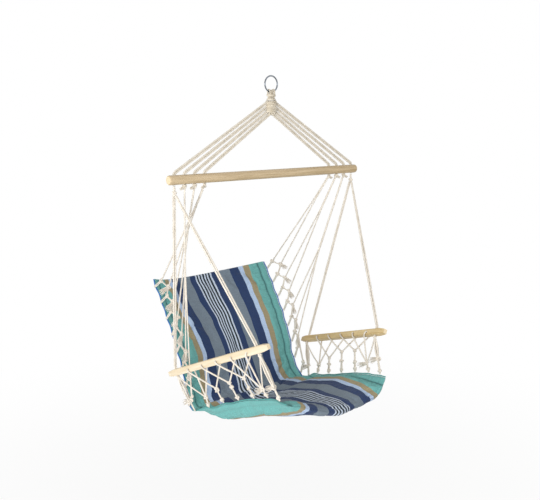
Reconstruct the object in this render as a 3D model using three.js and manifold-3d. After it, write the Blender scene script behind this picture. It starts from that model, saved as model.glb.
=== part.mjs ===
// A hanging hammock chair: a steel ring, a knotted cord neck, a fan of twin cords to a drilled
// wooden spreader bar, and below it a striped padded seat and back held by knotted nets that
// pass through two wooden armrests. Millimetres, +Z up, the sitter looks along -Y and the
// sitter's right hand is at -X. The origin is the inside top of the ring, where a hook bears.
import * as THREE from "three";
import { mergeVertices } from "three/addons/utils/BufferGeometryUtils.js";
import Module from "manifold-3d";

const wasm = await Module();
wasm.setup();

const { PI, cos, sin, min, max, abs, sign } = Math;
const radians = (degrees) => (degrees * PI) / 180;
const vector = (x, y, z) => new THREE.Vector3(x, y, z);
const mix = (a, b, share) => a.clone().lerp(b, share);
const towards = (from, to, length) => to.clone().sub(from).setLength(length).add(from);

// Clearances shared by the whole chair
const seatGap = 0.3; // between pieces that touch on the real chair
const cutOverrun = 2; // how far a cutting solid passes the face it cuts

// Steel ring
const ringInnerDiameter = 47.4;
const ringWireDiameter = 4.8;
const ringFacets = { wire: 8, round: 28 };

// Cotton cord
const cordDiameter = 5;
const twinSpacing = 4.6; // between the two cords of a pair, less than a cord so that they touch
const netCordDiameter = 4.6;
const knotDiameter = 15;
const netKnotDiameter = 11;
const knotCordShare = 0.4; // thickness of a knot's outer wrap
const knotTuck = 3; // from the middle of a knot to where the cords that hang from it begin
const tasselLength = 26;
const tasselDiameter = 9;

// Knotted neck between the ring and the fan
const loopCount = 4;
const neckSwing = 35; // degrees that the loops roll fore and aft on the ring's wire
const neckBlockWidth = 24;
const neckBlockDepth = 17;
const knuckleDiameter = 17; // round top of the first knot, on which the neck leans sideways
const knuckleWeb = 3;
const topKnotHeight = 11;
const sennitWidth = 31;
const sennitDepth = 15;
const sennitKnots = 3;
const sennitKnotHeight = 15;
const sennitWrapShare = 0.32; // thickness of a wrap, of a knot's height
const sennitFlatShare = 0.41; // depth of a wrap, of its width
const sennitLeanShare = 0.16; // how far the two wraps of a knot stand apart, of its height
const sennitCoreShares = { width: 0.72, depth: 0.7 };
const topKnotFootShare = 0.8; // width of the first knot's foot, of the sennit's width

// Spreader bar
const barDrop = 318.7; // ring's inside top to the bar's axis
const barLength = 800;
const barDiameter = 30;
const barEndRounding = 5;
const barHoleDiameter = 12;
const barHoleInset = 21; // bar's end to the outermost hole
const barHolePitch = 37;
const holesPerSide = 4;
const barKnotHang = 4.1; // bar's underside to the middle of the knots that carry it
const armYokeDrop = 41; // bar's axis to the knot that the two cords of an armrest share

// Padded cotton panel: a back and a seat that meet at a sewn crease
const clothHalfWidth = 257; // flat, from the middle to the outer edge
const creaseY = 115; // behind the bar
const creaseDrop = 812; // below the bar's axis
const backDepth = 265;
const backHeight = 412;
const seatDepth = 485;
const seatRise = 88;
const backThickness = 11.6;
const seatThickness = 22;
const flangeThickness = 5;
const flangeWidth = 28; // thin side flange outside the seam
const hemThickness = 6;
const creaseThickness = 9;
const sectionPower = 4; // how late across the width the cloth turns up
const scallop = 3; // how far the edge is drawn in between two net loops
const pipingDiameter = 4.4;
const pipingGap = 0.6; // between the piping and the cloth's edge

// Armrests
const armLength = 522;
const armWidth = 19;
const armHeight = 23;
const armTaperLength = 28;
const armTipHeight = 15;
const armTipWidth = 13;
const armBevel = 1.6;
const armEndHoleDiameter = 12;
const armNetHoleDiameter = 7;
const armRearHoleInset = 40;
const armFrontHoleInset = 50;
const armFirstNetHole = 120; // from the rear end
const armNetHolePitch = 77.5;
const armNetHoles = 5;
const armKnotDrop = 7; // arm's underside to the middle of the knot below it
const underArmKnotDiameter = 13.8;
const armPairSplit = 2; // how far the two pairs start apart in the knot that they share

// What differs between the two hand-tied sides: how high the armrest's front hangs, how far the
// armrest is rolled, how far the seat turns up at its edge from crease to front in degrees, the
// face on which the net's forward legs leave the armrest, and the heights of the net's forks and
// knots between the seat's edge and the armrest.
const sides = [
  {
    name: "right",
    way: -1,
    armFrontRaised: 31,
    armRoll: 3,
    seatCurls: [-6, 54, 88, 112, 112, 90],
    visibleFace: 1,
    forkShares: [0.26, 0.4, 0.47, 0.52, 0.2, 0.3],
    knotShares: [0.26, 0.35, 0.36, 0.27, 0.2, 0.3],
  },
  {
    name: "left",
    way: 1,
    armFrontRaised: -22,
    armRoll: 32,
    seatCurls: [-6, 52, 56, 62, 64, 76],
    visibleFace: -1,
    forkShares: [0.23, 0.44, 0.6, 0.61, 0.25, 0.42],
    knotShares: [0.23, 0.27, 0.33, 0.28, 0.25, 0.42],
  },
];
const armRear = { x: 310, y: 178, overCrease: 122 };
const armFront = { x: 250, y: -304, overCrease: 306 };

// Materials
const paint = (color, roughness, metalness = 0) =>
  new THREE.MeshStandardMaterial({ color, roughness, metalness });
const steel = paint(0xc9ccd0, 0.2, 1);
const cotton = paint(0xe6dcc6, 0.9);
const beech = paint(0xcdae7d, 0.6);
const stripedCanvas = paint(0x3d6d92, 0.95);
const tealCanvas = paint(0x63b5ac, 0.95);
const bluePiping = paint(0x2f6fb0, 0.85);

const chair = new THREE.Group();
chair.name = "hammock_chair";

function addMesh(name, geometry, material) {
  const mesh = new THREE.Mesh(geometry, material);
  mesh.name = name;
  chair.add(mesh);
  return mesh;
}

// Between three.js geometry and a solid that can be joined and cut
function solidOf(geometry) {
  const bare = new THREE.BufferGeometry();
  const flat = geometry.index ? geometry.toNonIndexed() : geometry;
  bare.setAttribute("position", flat.getAttribute("position"));
  const merged = mergeVertices(bare, 1e-4);
  const mesh = new wasm.Mesh({
    numProp: 3,
    vertProperties: merged.attributes.position.array,
    triVerts: new Uint32Array(merged.index.array),
  });
  return new wasm.Manifold(mesh);
}

function geometryOf(solid) {
  const mesh = solid.getMesh();
  const geometry = new THREE.BufferGeometry();
  geometry.setAttribute("position", new THREE.BufferAttribute(mesh.vertProperties, 3));
  geometry.setIndex(new THREE.BufferAttribute(mesh.triVerts, 1));
  geometry.computeVertexNormals();
  return geometry;
}

const joined = (geometries) =>
  geometries.map(solidOf).reduce((whole, piece) => whole.add(piece));
const cutFrom = (solid, cutters) =>
  cutters.map(solidOf).reduce((whole, piece) => whole.subtract(piece), solid);

// A closed skin over rings of points that run in the same order along a path
function skinRings(rings) {
  const count = rings[0].length;
  const positions = [];
  const triangle = (a, b, c) => positions.push(...a.toArray(), ...b.toArray(), ...c.toArray());
  for (let i = 0; i + 1 < rings.length; i++) {
    for (let j = 0; j < count; j++) {
      const k = (j + 1) % count;
      triangle(rings[i][j], rings[i][k], rings[i + 1][j]);
      triangle(rings[i][k], rings[i + 1][k], rings[i + 1][j]);
    }
  }
  const middleOf = (ring) =>
    ring.reduce((sum, p) => sum.add(p), vector(0, 0, 0)).divideScalar(ring.length);
  const first = rings[0];
  const last = rings[rings.length - 1];
  const firstMiddle = middleOf(first);
  const lastMiddle = middleOf(last);
  for (let j = 0; j < count; j++) {
    const k = (j + 1) % count;
    triangle(firstMiddle, first[k], first[j]);
    triangle(lastMiddle, last[j], last[k]);
  }
  const geometry = new THREE.BufferGeometry();
  geometry.setAttribute("position", new THREE.Float32BufferAttribute(positions, 3));
  return geometry;
}

// A section swept along a path, its x axis kept towards sideHint
function sweep(section, path, sideHint, scales = []) {
  const rings = path.map((point, i) => {
    const before = path[max(i - 1, 0)];
    const after = path[min(i + 1, path.length - 1)];
    const tangent = after.clone().sub(before).normalize();
    const side = sideHint.clone().addScaledVector(tangent, -sideHint.dot(tangent)).normalize();
    const up = tangent.clone().cross(side);
    const scale = scales[i] ?? 1;
    return section.map((s) =>
      point.clone().addScaledVector(side, s.x * scale).addScaledVector(up, s.y * scale),
    );
  });
  return skinRings(rings);
}

function roundSection(diameter, corners) {
  return Array.from({ length: corners }, (_, i) => {
    const angle = (2 * PI * i) / corners;
    return new THREE.Vector2(cos(angle), sin(angle)).multiplyScalar(diameter / 2);
  });
}

// Outline of two cords lying side by side
function twinSection(diameter, spacing, cornersEach) {
  const outline = [];
  const reach = radians(120);
  for (const way of [1, -1]) {
    for (let i = 0; i < cornersEach; i++) {
      const turn = -reach + (2 * reach * i) / (cornersEach - 1);
      const angle = way > 0 ? turn : PI + turn;
      outline.push(
        new THREE.Vector2(
          (way * spacing) / 2 + (diameter / 2) * cos(angle),
          (diameter / 2) * sin(angle),
        ),
      );
    }
  }
  return outline;
}

const acrossChair = vector(1, 0, 0);
const twinShares = { cord: 0.8, spacing: 0.74 }; // a pair in the nets, of one cord's diameter
const netCord = roundSection(netCordDiameter, 4);
const netPair = twinSection(
  netCordDiameter * twinShares.cord,
  netCordDiameter * twinShares.spacing,
  3,
);
const cordPair = twinSection(cordDiameter, twinSpacing, 4);

// How the wrap of a knot lies: leaning as a hand-tied one does, or upright where cords turn on it
const wrapTurns = {
  underBar: new THREE.Euler(radians(50), 0, 0),
  underArm: new THREE.Euler(radians(70), 0, 0),
  upright: new THREE.Euler(0, PI / 2, 0),
};

// A knot seen from a step away: a wrap of cord round a core
function knotPieces(centre, diameter, turn) {
  const cord = diameter * knotCordShare;
  const wrapRadius = (diameter - cord) / 2;
  const wrap = new THREE.TorusGeometry(wrapRadius, cord / 2, 4, 8);
  wrap.applyMatrix4(new THREE.Matrix4().makeRotationFromEuler(turn));
  const core = new THREE.SphereGeometry(wrapRadius + cord / 4, 6, 4);
  return [wrap.translate(...centre.toArray()), core.translate(...centre.toArray())];
}

// Room for a knot, cut from the cords of another piece that hang from it
const knotRoom = (centre, diameter, turn) => knotPieces(centre, diameter + 2 * seatGap, turn);

function netKnot(centre, diameter = netKnotDiameter) {
  const lump = new THREE.SphereGeometry(diameter / 2, 4, 3);
  return lump.translate(...centre.toArray());
}

// A frayed end that hangs from a knot
function tassel(start, end, diameter = tasselDiameter) {
  return sweep(roundSection(diameter, 3), [start, end], acrossChair, [0.5, 1]);
}

// Steel ring in the plane of the spreader bar
const ringMeanRadius = (ringInnerDiameter + ringWireDiameter) / 2;
const ringCentre = vector(0, 0, -ringInnerDiameter / 2);
const ringBottomZ = ringCentre.z - ringMeanRadius;

function makeRing() {
  const ring = new THREE.TorusGeometry(
    ringMeanRadius,
    ringWireDiameter / 2,
    ringFacets.wire,
    ringFacets.round,
  );
  ring.rotateX(PI / 2);
  addMesh("steel_ring", ring.translate(0, 0, ringCentre.z), steel);
}

// Neck, from the loops over the ring down to the flat knot column
const loopInnerRadius = ringWireDiameter / 2 + seatGap;
const loopMeanRadius = loopInnerRadius + cordDiameter / 2;
const neckBlockTop = ringBottomZ - loopInnerRadius - seatGap;
const knuckleZ = neckBlockTop - knuckleWeb - seatGap - knuckleDiameter / 2;
const topKnotBottom = knuckleZ - topKnotHeight;
const sennitTop = topKnotBottom - seatGap;
const sennitBottom = sennitTop - sennitKnots * sennitKnotHeight;

function makeNeckLoops() {
  const loopPitch = (neckBlockWidth - cordDiameter) / (loopCount - 1) - seatGap;
  const pieces = [];
  for (let i = 0; i < loopCount; i++) {
    const x = (i - (loopCount - 1) / 2) * loopPitch;
    const rise = ringMeanRadius - Math.sqrt(ringMeanRadius ** 2 - x ** 2);
    const middle = ringBottomZ + rise;
    const path = [vector(x, -loopMeanRadius, knuckleZ + knuckleDiameter / 3)];
    const arcSteps = 6;
    for (let step = 0; step <= arcSteps; step++) {
      const angle = PI - (PI * step) / arcSteps;
      path.push(vector(x, loopMeanRadius * cos(angle), middle + loopMeanRadius * sin(angle)));
    }
    path.push(vector(x, loopMeanRadius, knuckleZ + knuckleDiameter / 3));
    pieces.push(sweep(roundSection(cordDiameter, 5), path, acrossChair));
  }
  const blockFoot = knuckleZ + knuckleDiameter / 4;
  const blockHeight = neckBlockTop - blockFoot;
  const block = new THREE.CylinderGeometry(0.5, 0.5, 1, 14);
  block.rotateX(PI / 2).scale(neckBlockWidth, neckBlockDepth, blockHeight);
  pieces.push(block.translate(0, 0, blockFoot + blockHeight / 2));
  const socketRadius = knuckleDiameter / 2 + seatGap;
  const socket = new THREE.CylinderGeometry(socketRadius, socketRadius, 2 * neckBlockDepth, 24);
  const cutters = [socket.translate(0, 0, knuckleZ)];
  // Room for the wire at every angle of the swing: a body turned about the swing's own axis
  const wireRoom = [new THREE.Vector2(0, -neckBlockWidth)];
  for (let step = -3; step <= 3; step++) {
    const angle = (2 * PI * step) / ringFacets.round;
    const rise = ringMeanRadius * (1 - cos(angle));
    wireRoom.push(new THREE.Vector2(loopInnerRadius + rise, ringMeanRadius * sin(angle)));
  }
  wireRoom.push(new THREE.Vector2(0, neckBlockWidth));
  const turned = new THREE.LatheGeometry(wireRoom, 16);
  cutters.push(turned.rotateZ(PI / 2).translate(0, 0, ringBottomZ));
  addMesh("neck_loops", geometryOf(cutFrom(joined(pieces), cutters)), cotton);
}

function makeTopKnot() {
  const knuckle = new THREE.CylinderGeometry(
    knuckleDiameter / 2,
    knuckleDiameter / 2,
    sennitDepth,
    20,
  );
  const foot = new THREE.CylinderGeometry(0.5, 0.5, 1, 14);
  const footHeight = topKnotHeight - knuckleDiameter / 4;
  foot.rotateX(PI / 2).scale(sennitWidth * topKnotFootShare, sennitDepth, footHeight);
  foot.translate(0, 0, topKnotBottom + footHeight / 2);
  const solid = joined([knuckle.translate(0, 0, knuckleZ), foot]);
  addMesh("top_knot", geometryOf(solid), cotton);
}

// Holes of the bar and the knots under them, counted from the middle outwards
const barTop = barDiameter / 2;
const outermost = holesPerSide - 1;
const barHoleX = (k) => barLength / 2 - barHoleInset - (outermost - k) * barHolePitch;
const barKnotZ = -barDrop - barTop - barKnotHang;
const barKnotAt = (k, way) => vector(way * barHoleX(k), 0, barKnotZ);

// Where each fan pair leaves the neck
const fanExitShares = [1, 0.72, 0.42, 0.12]; // down the sennit, by hole from the middle
const fanSpreadShares = [0.45, 0.57, 0.69, 0.81]; // out from its middle
const fanExit = (k, way) =>
  vector(
    way * (sennitWidth / 2) * fanSpreadShares[k],
    0,
    sennitTop - fanExitShares[k] * (sennitTop - sennitBottom),
  );

function fanPath(k, way) {
  const start = fanExit(k, way);
  const x = way * barHoleX(k);
  const bend = vector(x, 0, -barDrop + barTop + cordDiameter);
  const beforeBend = towards(bend, start, cordDiameter);
  const lowest = k < outermost ? barKnotZ : barKnotZ + cordDiameter / 2 + seatGap;
  return [start, beforeBend, vector(x, 0, bend.z - cordDiameter / 2), vector(x, 0, lowest)];
}

function makeSennit() {
  const pieces = [];
  for (let i = 0; i < sennitKnots; i++) {
    const middle = sennitTop - (i + 0.5) * sennitKnotHeight;
    for (const lean of [-1, 1]) {
      const wrapTube = sennitKnotHeight * sennitWrapShare;
      const wrap = new THREE.TorusGeometry(sennitWidth / 2 - wrapTube, wrapTube, 4, 10);
      wrap.scale(1, sennitFlatShare, 1);
      wrap.rotateY(lean * radians(13));
      pieces.push(wrap.translate(0, 0, middle + lean * sennitKnotHeight * sennitLeanShare));
    }
  }
  const core = new THREE.CylinderGeometry(0.5, 0.5, 1, 12);
  const coreWidth = sennitWidth * sennitCoreShares.width;
  const coreDepth = sennitDepth * sennitCoreShares.depth;
  core.rotateX(PI / 2).scale(coreWidth, coreDepth, sennitTop - sennitBottom);
  pieces.push(core.translate(0, 0, (sennitTop + sennitBottom) / 2));
  const sockets = [];
  for (const { way } of sides) {
    for (let k = 0; k < holesPerSide; k++) {
      const [start, next] = fanPath(k, way);
      const socket = twinSection(cordDiameter + 2 * seatGap, twinSpacing, 4);
      const inside = towards(start, next, -seatGap);
      sockets.push(sweep(socket, [inside, towards(start, next, sennitWidth)], acrossChair));
    }
  }
  const flatTop = new THREE.BoxGeometry(2 * sennitWidth, 2 * sennitWidth, sennitKnotHeight);
  flatTop.translate(0, 0, sennitTop + sennitKnotHeight / 2);
  addMesh("knotted_neck", geometryOf(cutFrom(joined(pieces), [...sockets, flatTop])), cotton);
}

function makeFanCords() {
  for (const { name, way } of sides) {
    for (let k = 0; k < holesPerSide; k++) {
      const path = fanPath(k, way);
      const pieces = [sweep(cordPair, path, acrossChair)];
      const knot = knotPieces(barKnotAt(k, way), knotDiameter, wrapTurns.underBar);
      if (k < outermost) pieces.push(...knot);
      addMesh(`fan_cords_${name}_${k + 1}`, geometryOf(joined(pieces)), cotton);
    }
  }
}

function makeSpreaderBar() {
  const radius = barDiameter / 2;
  const half = barLength / 2;
  const profile = [new THREE.Vector2(0, -half)];
  const roundingSteps = 3;
  for (let i = 0; i <= 2 * roundingSteps + 1; i++) {
    const end = i <= roundingSteps ? -1 : 1;
    const turn = end < 0 ? i : 2 * roundingSteps + 1 - i;
    const angle = (PI / 2) * (turn / roundingSteps);
    profile.push(
      new THREE.Vector2(
        radius - barEndRounding * (1 - sin(angle)),
        end * (half - barEndRounding * (1 - cos(angle))),
      ),
    );
  }
  profile.push(new THREE.Vector2(0, half));
  const bar = new THREE.LatheGeometry(profile, 24);
  bar.rotateZ(-PI / 2).translate(0, 0, -barDrop);
  const holes = [];
  for (const { way } of sides) {
    for (let k = 0; k < holesPerSide; k++) {
      const hole = new THREE.CylinderGeometry(
        barHoleDiameter / 2,
        barHoleDiameter / 2,
        barDiameter + 2 * cutOverrun,
        12,
      );
      holes.push(hole.rotateX(PI / 2).translate(way * barHoleX(k), 0, -barDrop));
    }
  }
  addMesh("spreader_bar", geometryOf(cutFrom(solidOf(bar), holes)), beech);
}

// Cloth: one middle line for the back and one for the seat, in shares of rake or depth (from the
// crease, rearwards or forwards) and of height or rise. Both run on a little past the crease.
const backLineShares = [
  [1, 1],
  [0.87, 0.855],
  [0.69, 0.66],
  [0.5, 0.466],
  [0.335, 0.296],
  [0.205, 0.15],
  [0.09, 0.04],
  [0, 0],
  [-0.05, -0.01],
];
const seatLineShares = [
  [-0.03, 0.03],
  [0, 0],
  [0.06, -0.08],
  [0.15, -0.11],
  [0.26, -0.02],
  [0.45, 0.29],
  [0.65, 0.62],
  [0.85, 0.88],
  [1, 1],
];
// How far the back's section turns up at the edge, in degrees, from its top to the crease
const backCurls = [16, 26, 30, 26, 16, -6];
const backLoops = 8; // net loops along each side of the back
const seatLoops = 7;

function clothLine(shares, depth, height, way) {
  const points = shares.map(([along, up]) =>
    vector(0, creaseY + way * along * depth, -barDrop - creaseDrop + up * height),
  );
  return new THREE.CatmullRomCurve3(points, false, "centripetal");
}

function curlAt(curls, share) {
  const place = share * (curls.length - 1);
  const i = min(Math.floor(place), curls.length - 2);
  const between = place - i;
  const eased = between * between * (3 - 2 * between);
  return radians(curls[i] + (curls[i + 1] - curls[i]) * eased);
}

// The half section of the cloth: it keeps its flat width and turns up more and more steeply
// towards its edge, so x and rise are integrals along the cloth.
function halfSection(share, curl, halfWidth) {
  const steps = 32;
  const step = share / steps;
  const place = { x: 0, rise: 0, angle: curl * share ** sectionPower };
  for (let i = 0; i < steps; i++) {
    const angle = curl * ((i + 0.5) * step) ** sectionPower;
    place.x += cos(angle) * step * halfWidth;
    place.rise += sin(angle) * step * halfWidth;
  }
  return place;
}

// Columns of faces from the middle to the edge, with one on each side of the seam
const seamShare = 1 - flangeWidth / clothHalfWidth;
const seamHalfWidthShare = 0.04;
const seamColumnShares = [seamShare - seamHalfWidthShare, seamShare, seamShare + seamHalfWidthShare, 1];
const rowsPerLoop = 2;

const backPanel = {
  line: clothLine(backLineShares, backDepth, backHeight, 1),
  loops: backLoops,
  columnShares: [0, 0.62, ...seamColumnShares],
  curl: (share) => curlAt(backCurls, share),
  thickness: backThickness,
  endThickness: [hemThickness, creaseThickness],
};
const seatPanel = {
  line: clothLine(seatLineShares, seatDepth, seatRise, -1),
  loops: seatLoops,
  columnShares: [0, 0.3, 0.56, 0.74, ...seamColumnShares],
  curl: (share, way) => curlAt(sides.find((side) => side.way === way).seatCurls, share),
  thickness: seatThickness,
  endThickness: [creaseThickness, hemThickness],
};

// A point of the cloth's middle surface, share along its line and u from edge to edge
function clothPlace(panel, share, u) {
  const way = u < 0 ? -1 : 1;
  const tangent = panel.line.getTangentAt(share);
  const facing = vector(0, tangent.z, -tangent.y);
  const drawnIn = (scallop / 2) * (1 + cos(2 * PI * panel.loops * share));
  const place = halfSection(abs(u), panel.curl(share, way), clothHalfWidth - drawnIn);
  const across = acrossChair.clone().multiplyScalar(way);
  return {
    point: panel.line
      .getPointAt(share)
      .addScaledVector(across, place.x)
      .addScaledVector(facing, place.rise),
    normal: facing
      .clone()
      .multiplyScalar(cos(place.angle))
      .addScaledVector(across, -sin(place.angle)),
    outward: across.multiplyScalar(cos(place.angle)).addScaledVector(facing, sin(place.angle)),
  };
}

const seamThicknessShare = 0.7; // the stitches draw the seam in, to this share of the flange
const endEaseShare = 0.12; // stretch of a panel over which its padding grows from an end
const crownShare = 0.25; // how much thinner the padding is beside the seam than in the middle

// Padding is full in the middle and thin at the seam, the flange and the two ends
function clothThickness(panel, share, u) {
  const beside = abs(u);
  if (beside > seamShare + seamHalfWidthShare / 2) return flangeThickness;
  if (beside > seamShare - seamHalfWidthShare / 2) return flangeThickness * seamThicknessShare;
  const [startThickness, endThickness] = panel.endThickness;
  const fromStart = (1 - min(share / endEaseShare, 1)) ** 2;
  const fromEnd = (1 - min((1 - share) / endEaseShare, 1)) ** 2;
  const padded =
    panel.thickness -
    (panel.thickness - startThickness) * fromStart -
    (panel.thickness - endThickness) * fromEnd;
  const crown = 1 - crownShare * (beside / seamShare) ** 3;
  return max(padded * crown, flangeThickness);
}

// A closed slab between a top grid and a bottom grid of the same size
function slab(top, bottom) {
  const positions = [];
  const quad = (a, b, c, d) => {
    for (const p of [a, b, c, a, c, d]) positions.push(p.x, p.y, p.z);
  };
  const rows = top.length - 1;
  const columns = top[0].length - 1;
  for (let i = 0; i < rows; i++) {
    for (let j = 0; j < columns; j++) {
      quad(top[i][j], top[i + 1][j], top[i + 1][j + 1], top[i][j + 1]);
      quad(bottom[i][j], bottom[i][j + 1], bottom[i + 1][j + 1], bottom[i + 1][j]);
    }
    quad(top[i][0], bottom[i][0], bottom[i + 1][0], top[i + 1][0]);
    quad(bottom[i][columns], top[i][columns], top[i + 1][columns], bottom[i + 1][columns]);
  }
  for (let j = 0; j < columns; j++) {
    quad(top[0][j], top[0][j + 1], bottom[0][j + 1], bottom[0][j]);
    quad(bottom[rows][j], bottom[rows][j + 1], top[rows][j + 1], top[rows][j]);
  }
  const geometry = new THREE.BufferGeometry();
  geometry.setAttribute("position", new THREE.Float32BufferAttribute(positions, 3));
  return geometry;
}

// Everything on the far side of the crease plane, seen from the named panel
function pastCrease(way) {
  const reach = 4 * clothHalfWidth;
  const block = new THREE.BoxGeometry(reach, reach, reach);
  return block.translate(0, creaseY - way * (reach / 2 - seatGap / 2), -barDrop - creaseDrop);
}

function makePad(name, panel, way) {
  const rows = panel.loops * rowsPerLoop;
  const columns = [...panel.columnShares.slice(1).reverse().map((c) => -c), ...panel.columnShares];
  const top = [];
  const bottom = [];
  for (let i = 0; i <= rows; i++) {
    const places = columns.map((u) => clothPlace(panel, i / rows, u));
    const halves = columns.map((u) => clothThickness(panel, i / rows, u) / 2);
    top.push(places.map(({ point, normal }, j) => point.clone().addScaledVector(normal, halves[j])));
    bottom.push(
      places.map(({ point, normal }, j) => point.clone().addScaledVector(normal, -halves[j])),
    );
  }
  const trimmed = cutFrom(solidOf(slab(top, bottom)), [pastCrease(way)]);
  addMesh(name, geometryOf(trimmed), stripedCanvas);
}

// Blue edge binding, one strip on each side of each panel
function makePiping(panelName, panel, way) {
  const steps = panel.loops * rowsPerLoop;
  for (const side of sides) {
    const path = [];
    for (let i = 0; i <= steps; i++) {
      const { point, outward } = clothPlace(panel, i / steps, side.way);
      path.push(point.addScaledVector(outward, pipingDiameter / 2 + pipingGap));
    }
    const tube = sweep(roundSection(pipingDiameter, 5), path, acrossChair);
    const trimmed = cutFrom(solidOf(tube), [pastCrease(way)]);
    addMesh(`${panelName}_piping_${side.name}`, geometryOf(trimmed), bluePiping);
  }
}

// Armrests. Points on one are given along it from its rear end, outwards and upwards.
function armFrame(side) {
  const creaseZ = -barDrop - creaseDrop;
  const rear = vector(side.way * armRear.x, armRear.y, creaseZ + armRear.overCrease);
  const front = vector(
    side.way * armFront.x,
    armFront.y,
    creaseZ + armFront.overCrease + side.armFrontRaised,
  );
  const along = front.clone().sub(rear).normalize();
  const level = vector(0, 0, 1).addScaledVector(along, -along.z).normalize();
  const outwards = acrossChair.clone().multiplyScalar(side.way);
  outwards.addScaledVector(along, -outwards.dot(along)).normalize();
  const roll = radians(side.armRoll);
  const up = level.multiplyScalar(cos(roll)).addScaledVector(outwards, sin(roll)).normalize();
  const left = up.clone().cross(along).normalize();
  const middle = mix(rear, front, 0.5);
  return { along, up, left, middle, outer: sign(left.x) * side.way };
}

for (const side of sides) side.arm = armFrame(side);

function armPoint(side, distance, outwards, upwards) {
  const { along, up, left, middle, outer } = side.arm;
  return middle
    .clone()
    .addScaledVector(along, distance - armLength / 2)
    .addScaledVector(left, outer * outwards)
    .addScaledVector(up, upwards);
}

function taperedOutline(length, full, tip) {
  const half = length / 2;
  const shoulder = half - armTaperLength;
  return new THREE.Shape(
    [
      [-half, -tip / 2],
      [-shoulder, -full / 2],
      [shoulder, -full / 2],
      [half, -tip / 2],
      [half, tip / 2],
      [shoulder, full / 2],
      [-shoulder, full / 2],
      [-half, tip / 2],
    ].map(([x, y]) => new THREE.Vector2(x, y)),
  );
}

function extrudeCentred(shape, depth) {
  const geometry = new THREE.ExtrudeGeometry(shape, {
    depth: depth - 2 * armBevel,
    bevelThickness: armBevel,
    bevelSize: armBevel,
    bevelOffset: -armBevel,
    bevelSegments: 1,
  });
  return geometry.translate(0, 0, armBevel - depth / 2);
}

const netHoleAt = (k) => armFirstNetHole + k * armNetHolePitch;
const armEndHoles = { rear: armRearHoleInset, front: armLength - armFrontHoleInset };

function makeArmrests() {
  for (const side of sides) {
    const plan = extrudeCentred(taperedOutline(armLength, armWidth, armTipWidth), armHeight);
    const elevation = extrudeCentred(taperedOutline(armLength, armHeight, armTipHeight), armWidth);
    const blank = solidOf(plan).intersect(solidOf(elevation.rotateX(PI / 2)));
    const holes = [];
    for (let k = 0; k < armNetHoles; k++) {
      const radius = armNetHoleDiameter / 2;
      const hole = new THREE.CylinderGeometry(radius, radius, armWidth + 2 * cutOverrun, 8);
      holes.push(hole.translate(netHoleAt(k) - armLength / 2, 0, 0));
    }
    for (const distance of Object.values(armEndHoles)) {
      const radius = armEndHoleDiameter / 2;
      const hole = new THREE.CylinderGeometry(radius, radius, armHeight + 2 * cutOverrun, 12);
      holes.push(hole.rotateX(PI / 2).translate(distance - armLength / 2, 0, 0));
    }
    const armrest = addMesh(`armrest_${side.name}`, geometryOf(cutFrom(blank, holes)), beech);
    const { along, left, up, middle } = side.arm;
    armrest.position.copy(middle);
    armrest.quaternion.setFromRotationMatrix(new THREE.Matrix4().makeBasis(along, left, up));
  }
}

// The knot under the outermost hole, on a short loop, from which an armrest's two pairs hang
const armYokeAt = (way) => vector(way * barHoleX(outermost), 0, -barDrop - armYokeDrop);

function makeArmYokes() {
  for (const { name, way } of sides) {
    const top = barKnotAt(outermost, way);
    const knot = armYokeAt(way);
    const tip = new THREE.SphereGeometry(cordDiameter / 2, 6, 4);
    const pieces = [
      tip.translate(...top.toArray()),
      sweep(cordPair, [top, mix(top, knot, 0.5), knot], acrossChair, [0.7, 1, 1]),
      ...knotPieces(knot, knotDiameter, wrapTurns.upright),
    ];
    addMesh(`arm_yoke_knot_${name}`, geometryOf(joined(pieces)), cotton);
  }
}

// The knot under a hole of an armrest, at the named end
const underArm = (side, end) =>
  armPoint(side, armEndHoles[end], 0, -armHeight / 2 - armKnotDrop);

function makeArmCords() {
  for (const side of sides) {
    for (const [end, distance] of Object.entries(armEndHoles)) {
      const yoke = armYokeAt(side.way);
      const mouth = armPoint(side, distance, 0, armHeight / 2 + cordDiameter);
      const apart = vector(0, end === "rear" ? armPairSplit : -armPairSplit, 0);
      const start = towards(yoke, mouth, knotTuck).add(apart);
      const beforeMouth = towards(mouth, start, cordDiameter);
      const below = underArm(side, end);
      const inHole = armPoint(side, distance, 0, armHeight / 2);
      const pieces = [
        sweep(cordPair, [start, beforeMouth, inHole, below], acrossChair),
        ...knotPieces(below, underArmKnotDiameter, wrapTurns.underArm),
      ];
      // The pair turns about the knot that it hangs from as the armrest swings
      const turningRoom = new THREE.SphereGeometry(knotDiameter / 2 + seatGap, 16, 12);
      const cords = cutFrom(joined(pieces), [turningRoom.translate(...yoke.toArray())]);
      addMesh(`arm_cords_${side.name}_${end}`, geometryOf(cords), cotton);
    }
  }
}

// Nets. A loop of the net bears on the piping at the middle of each scallop of the cloth's edge.
function edgeLoop(panel, k, way) {
  const { point, outward } = clothPlace(panel, (k + 0.5) / panel.loops, way);
  return point.addScaledVector(outward, pipingDiameter + netCordDiameter / 2 + pipingGap + seatGap);
}

const strand = (points) => sweep(netCord, points, vector(0.3, 0.2, 0.9));
const pairSide = vector(0.1, 0.95, 0.2); // the way in which the two cords of a net's pair lie
const twinStrand = (points, scales) => sweep(netPair, points, pairSide, scales);
const pinched = [1.2, 0.7]; // scales of a loop of the net, which narrows towards the cloth
const spreading = [1, 1.2]; // scales of a bundle of cords, which widens towards its knot

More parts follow.
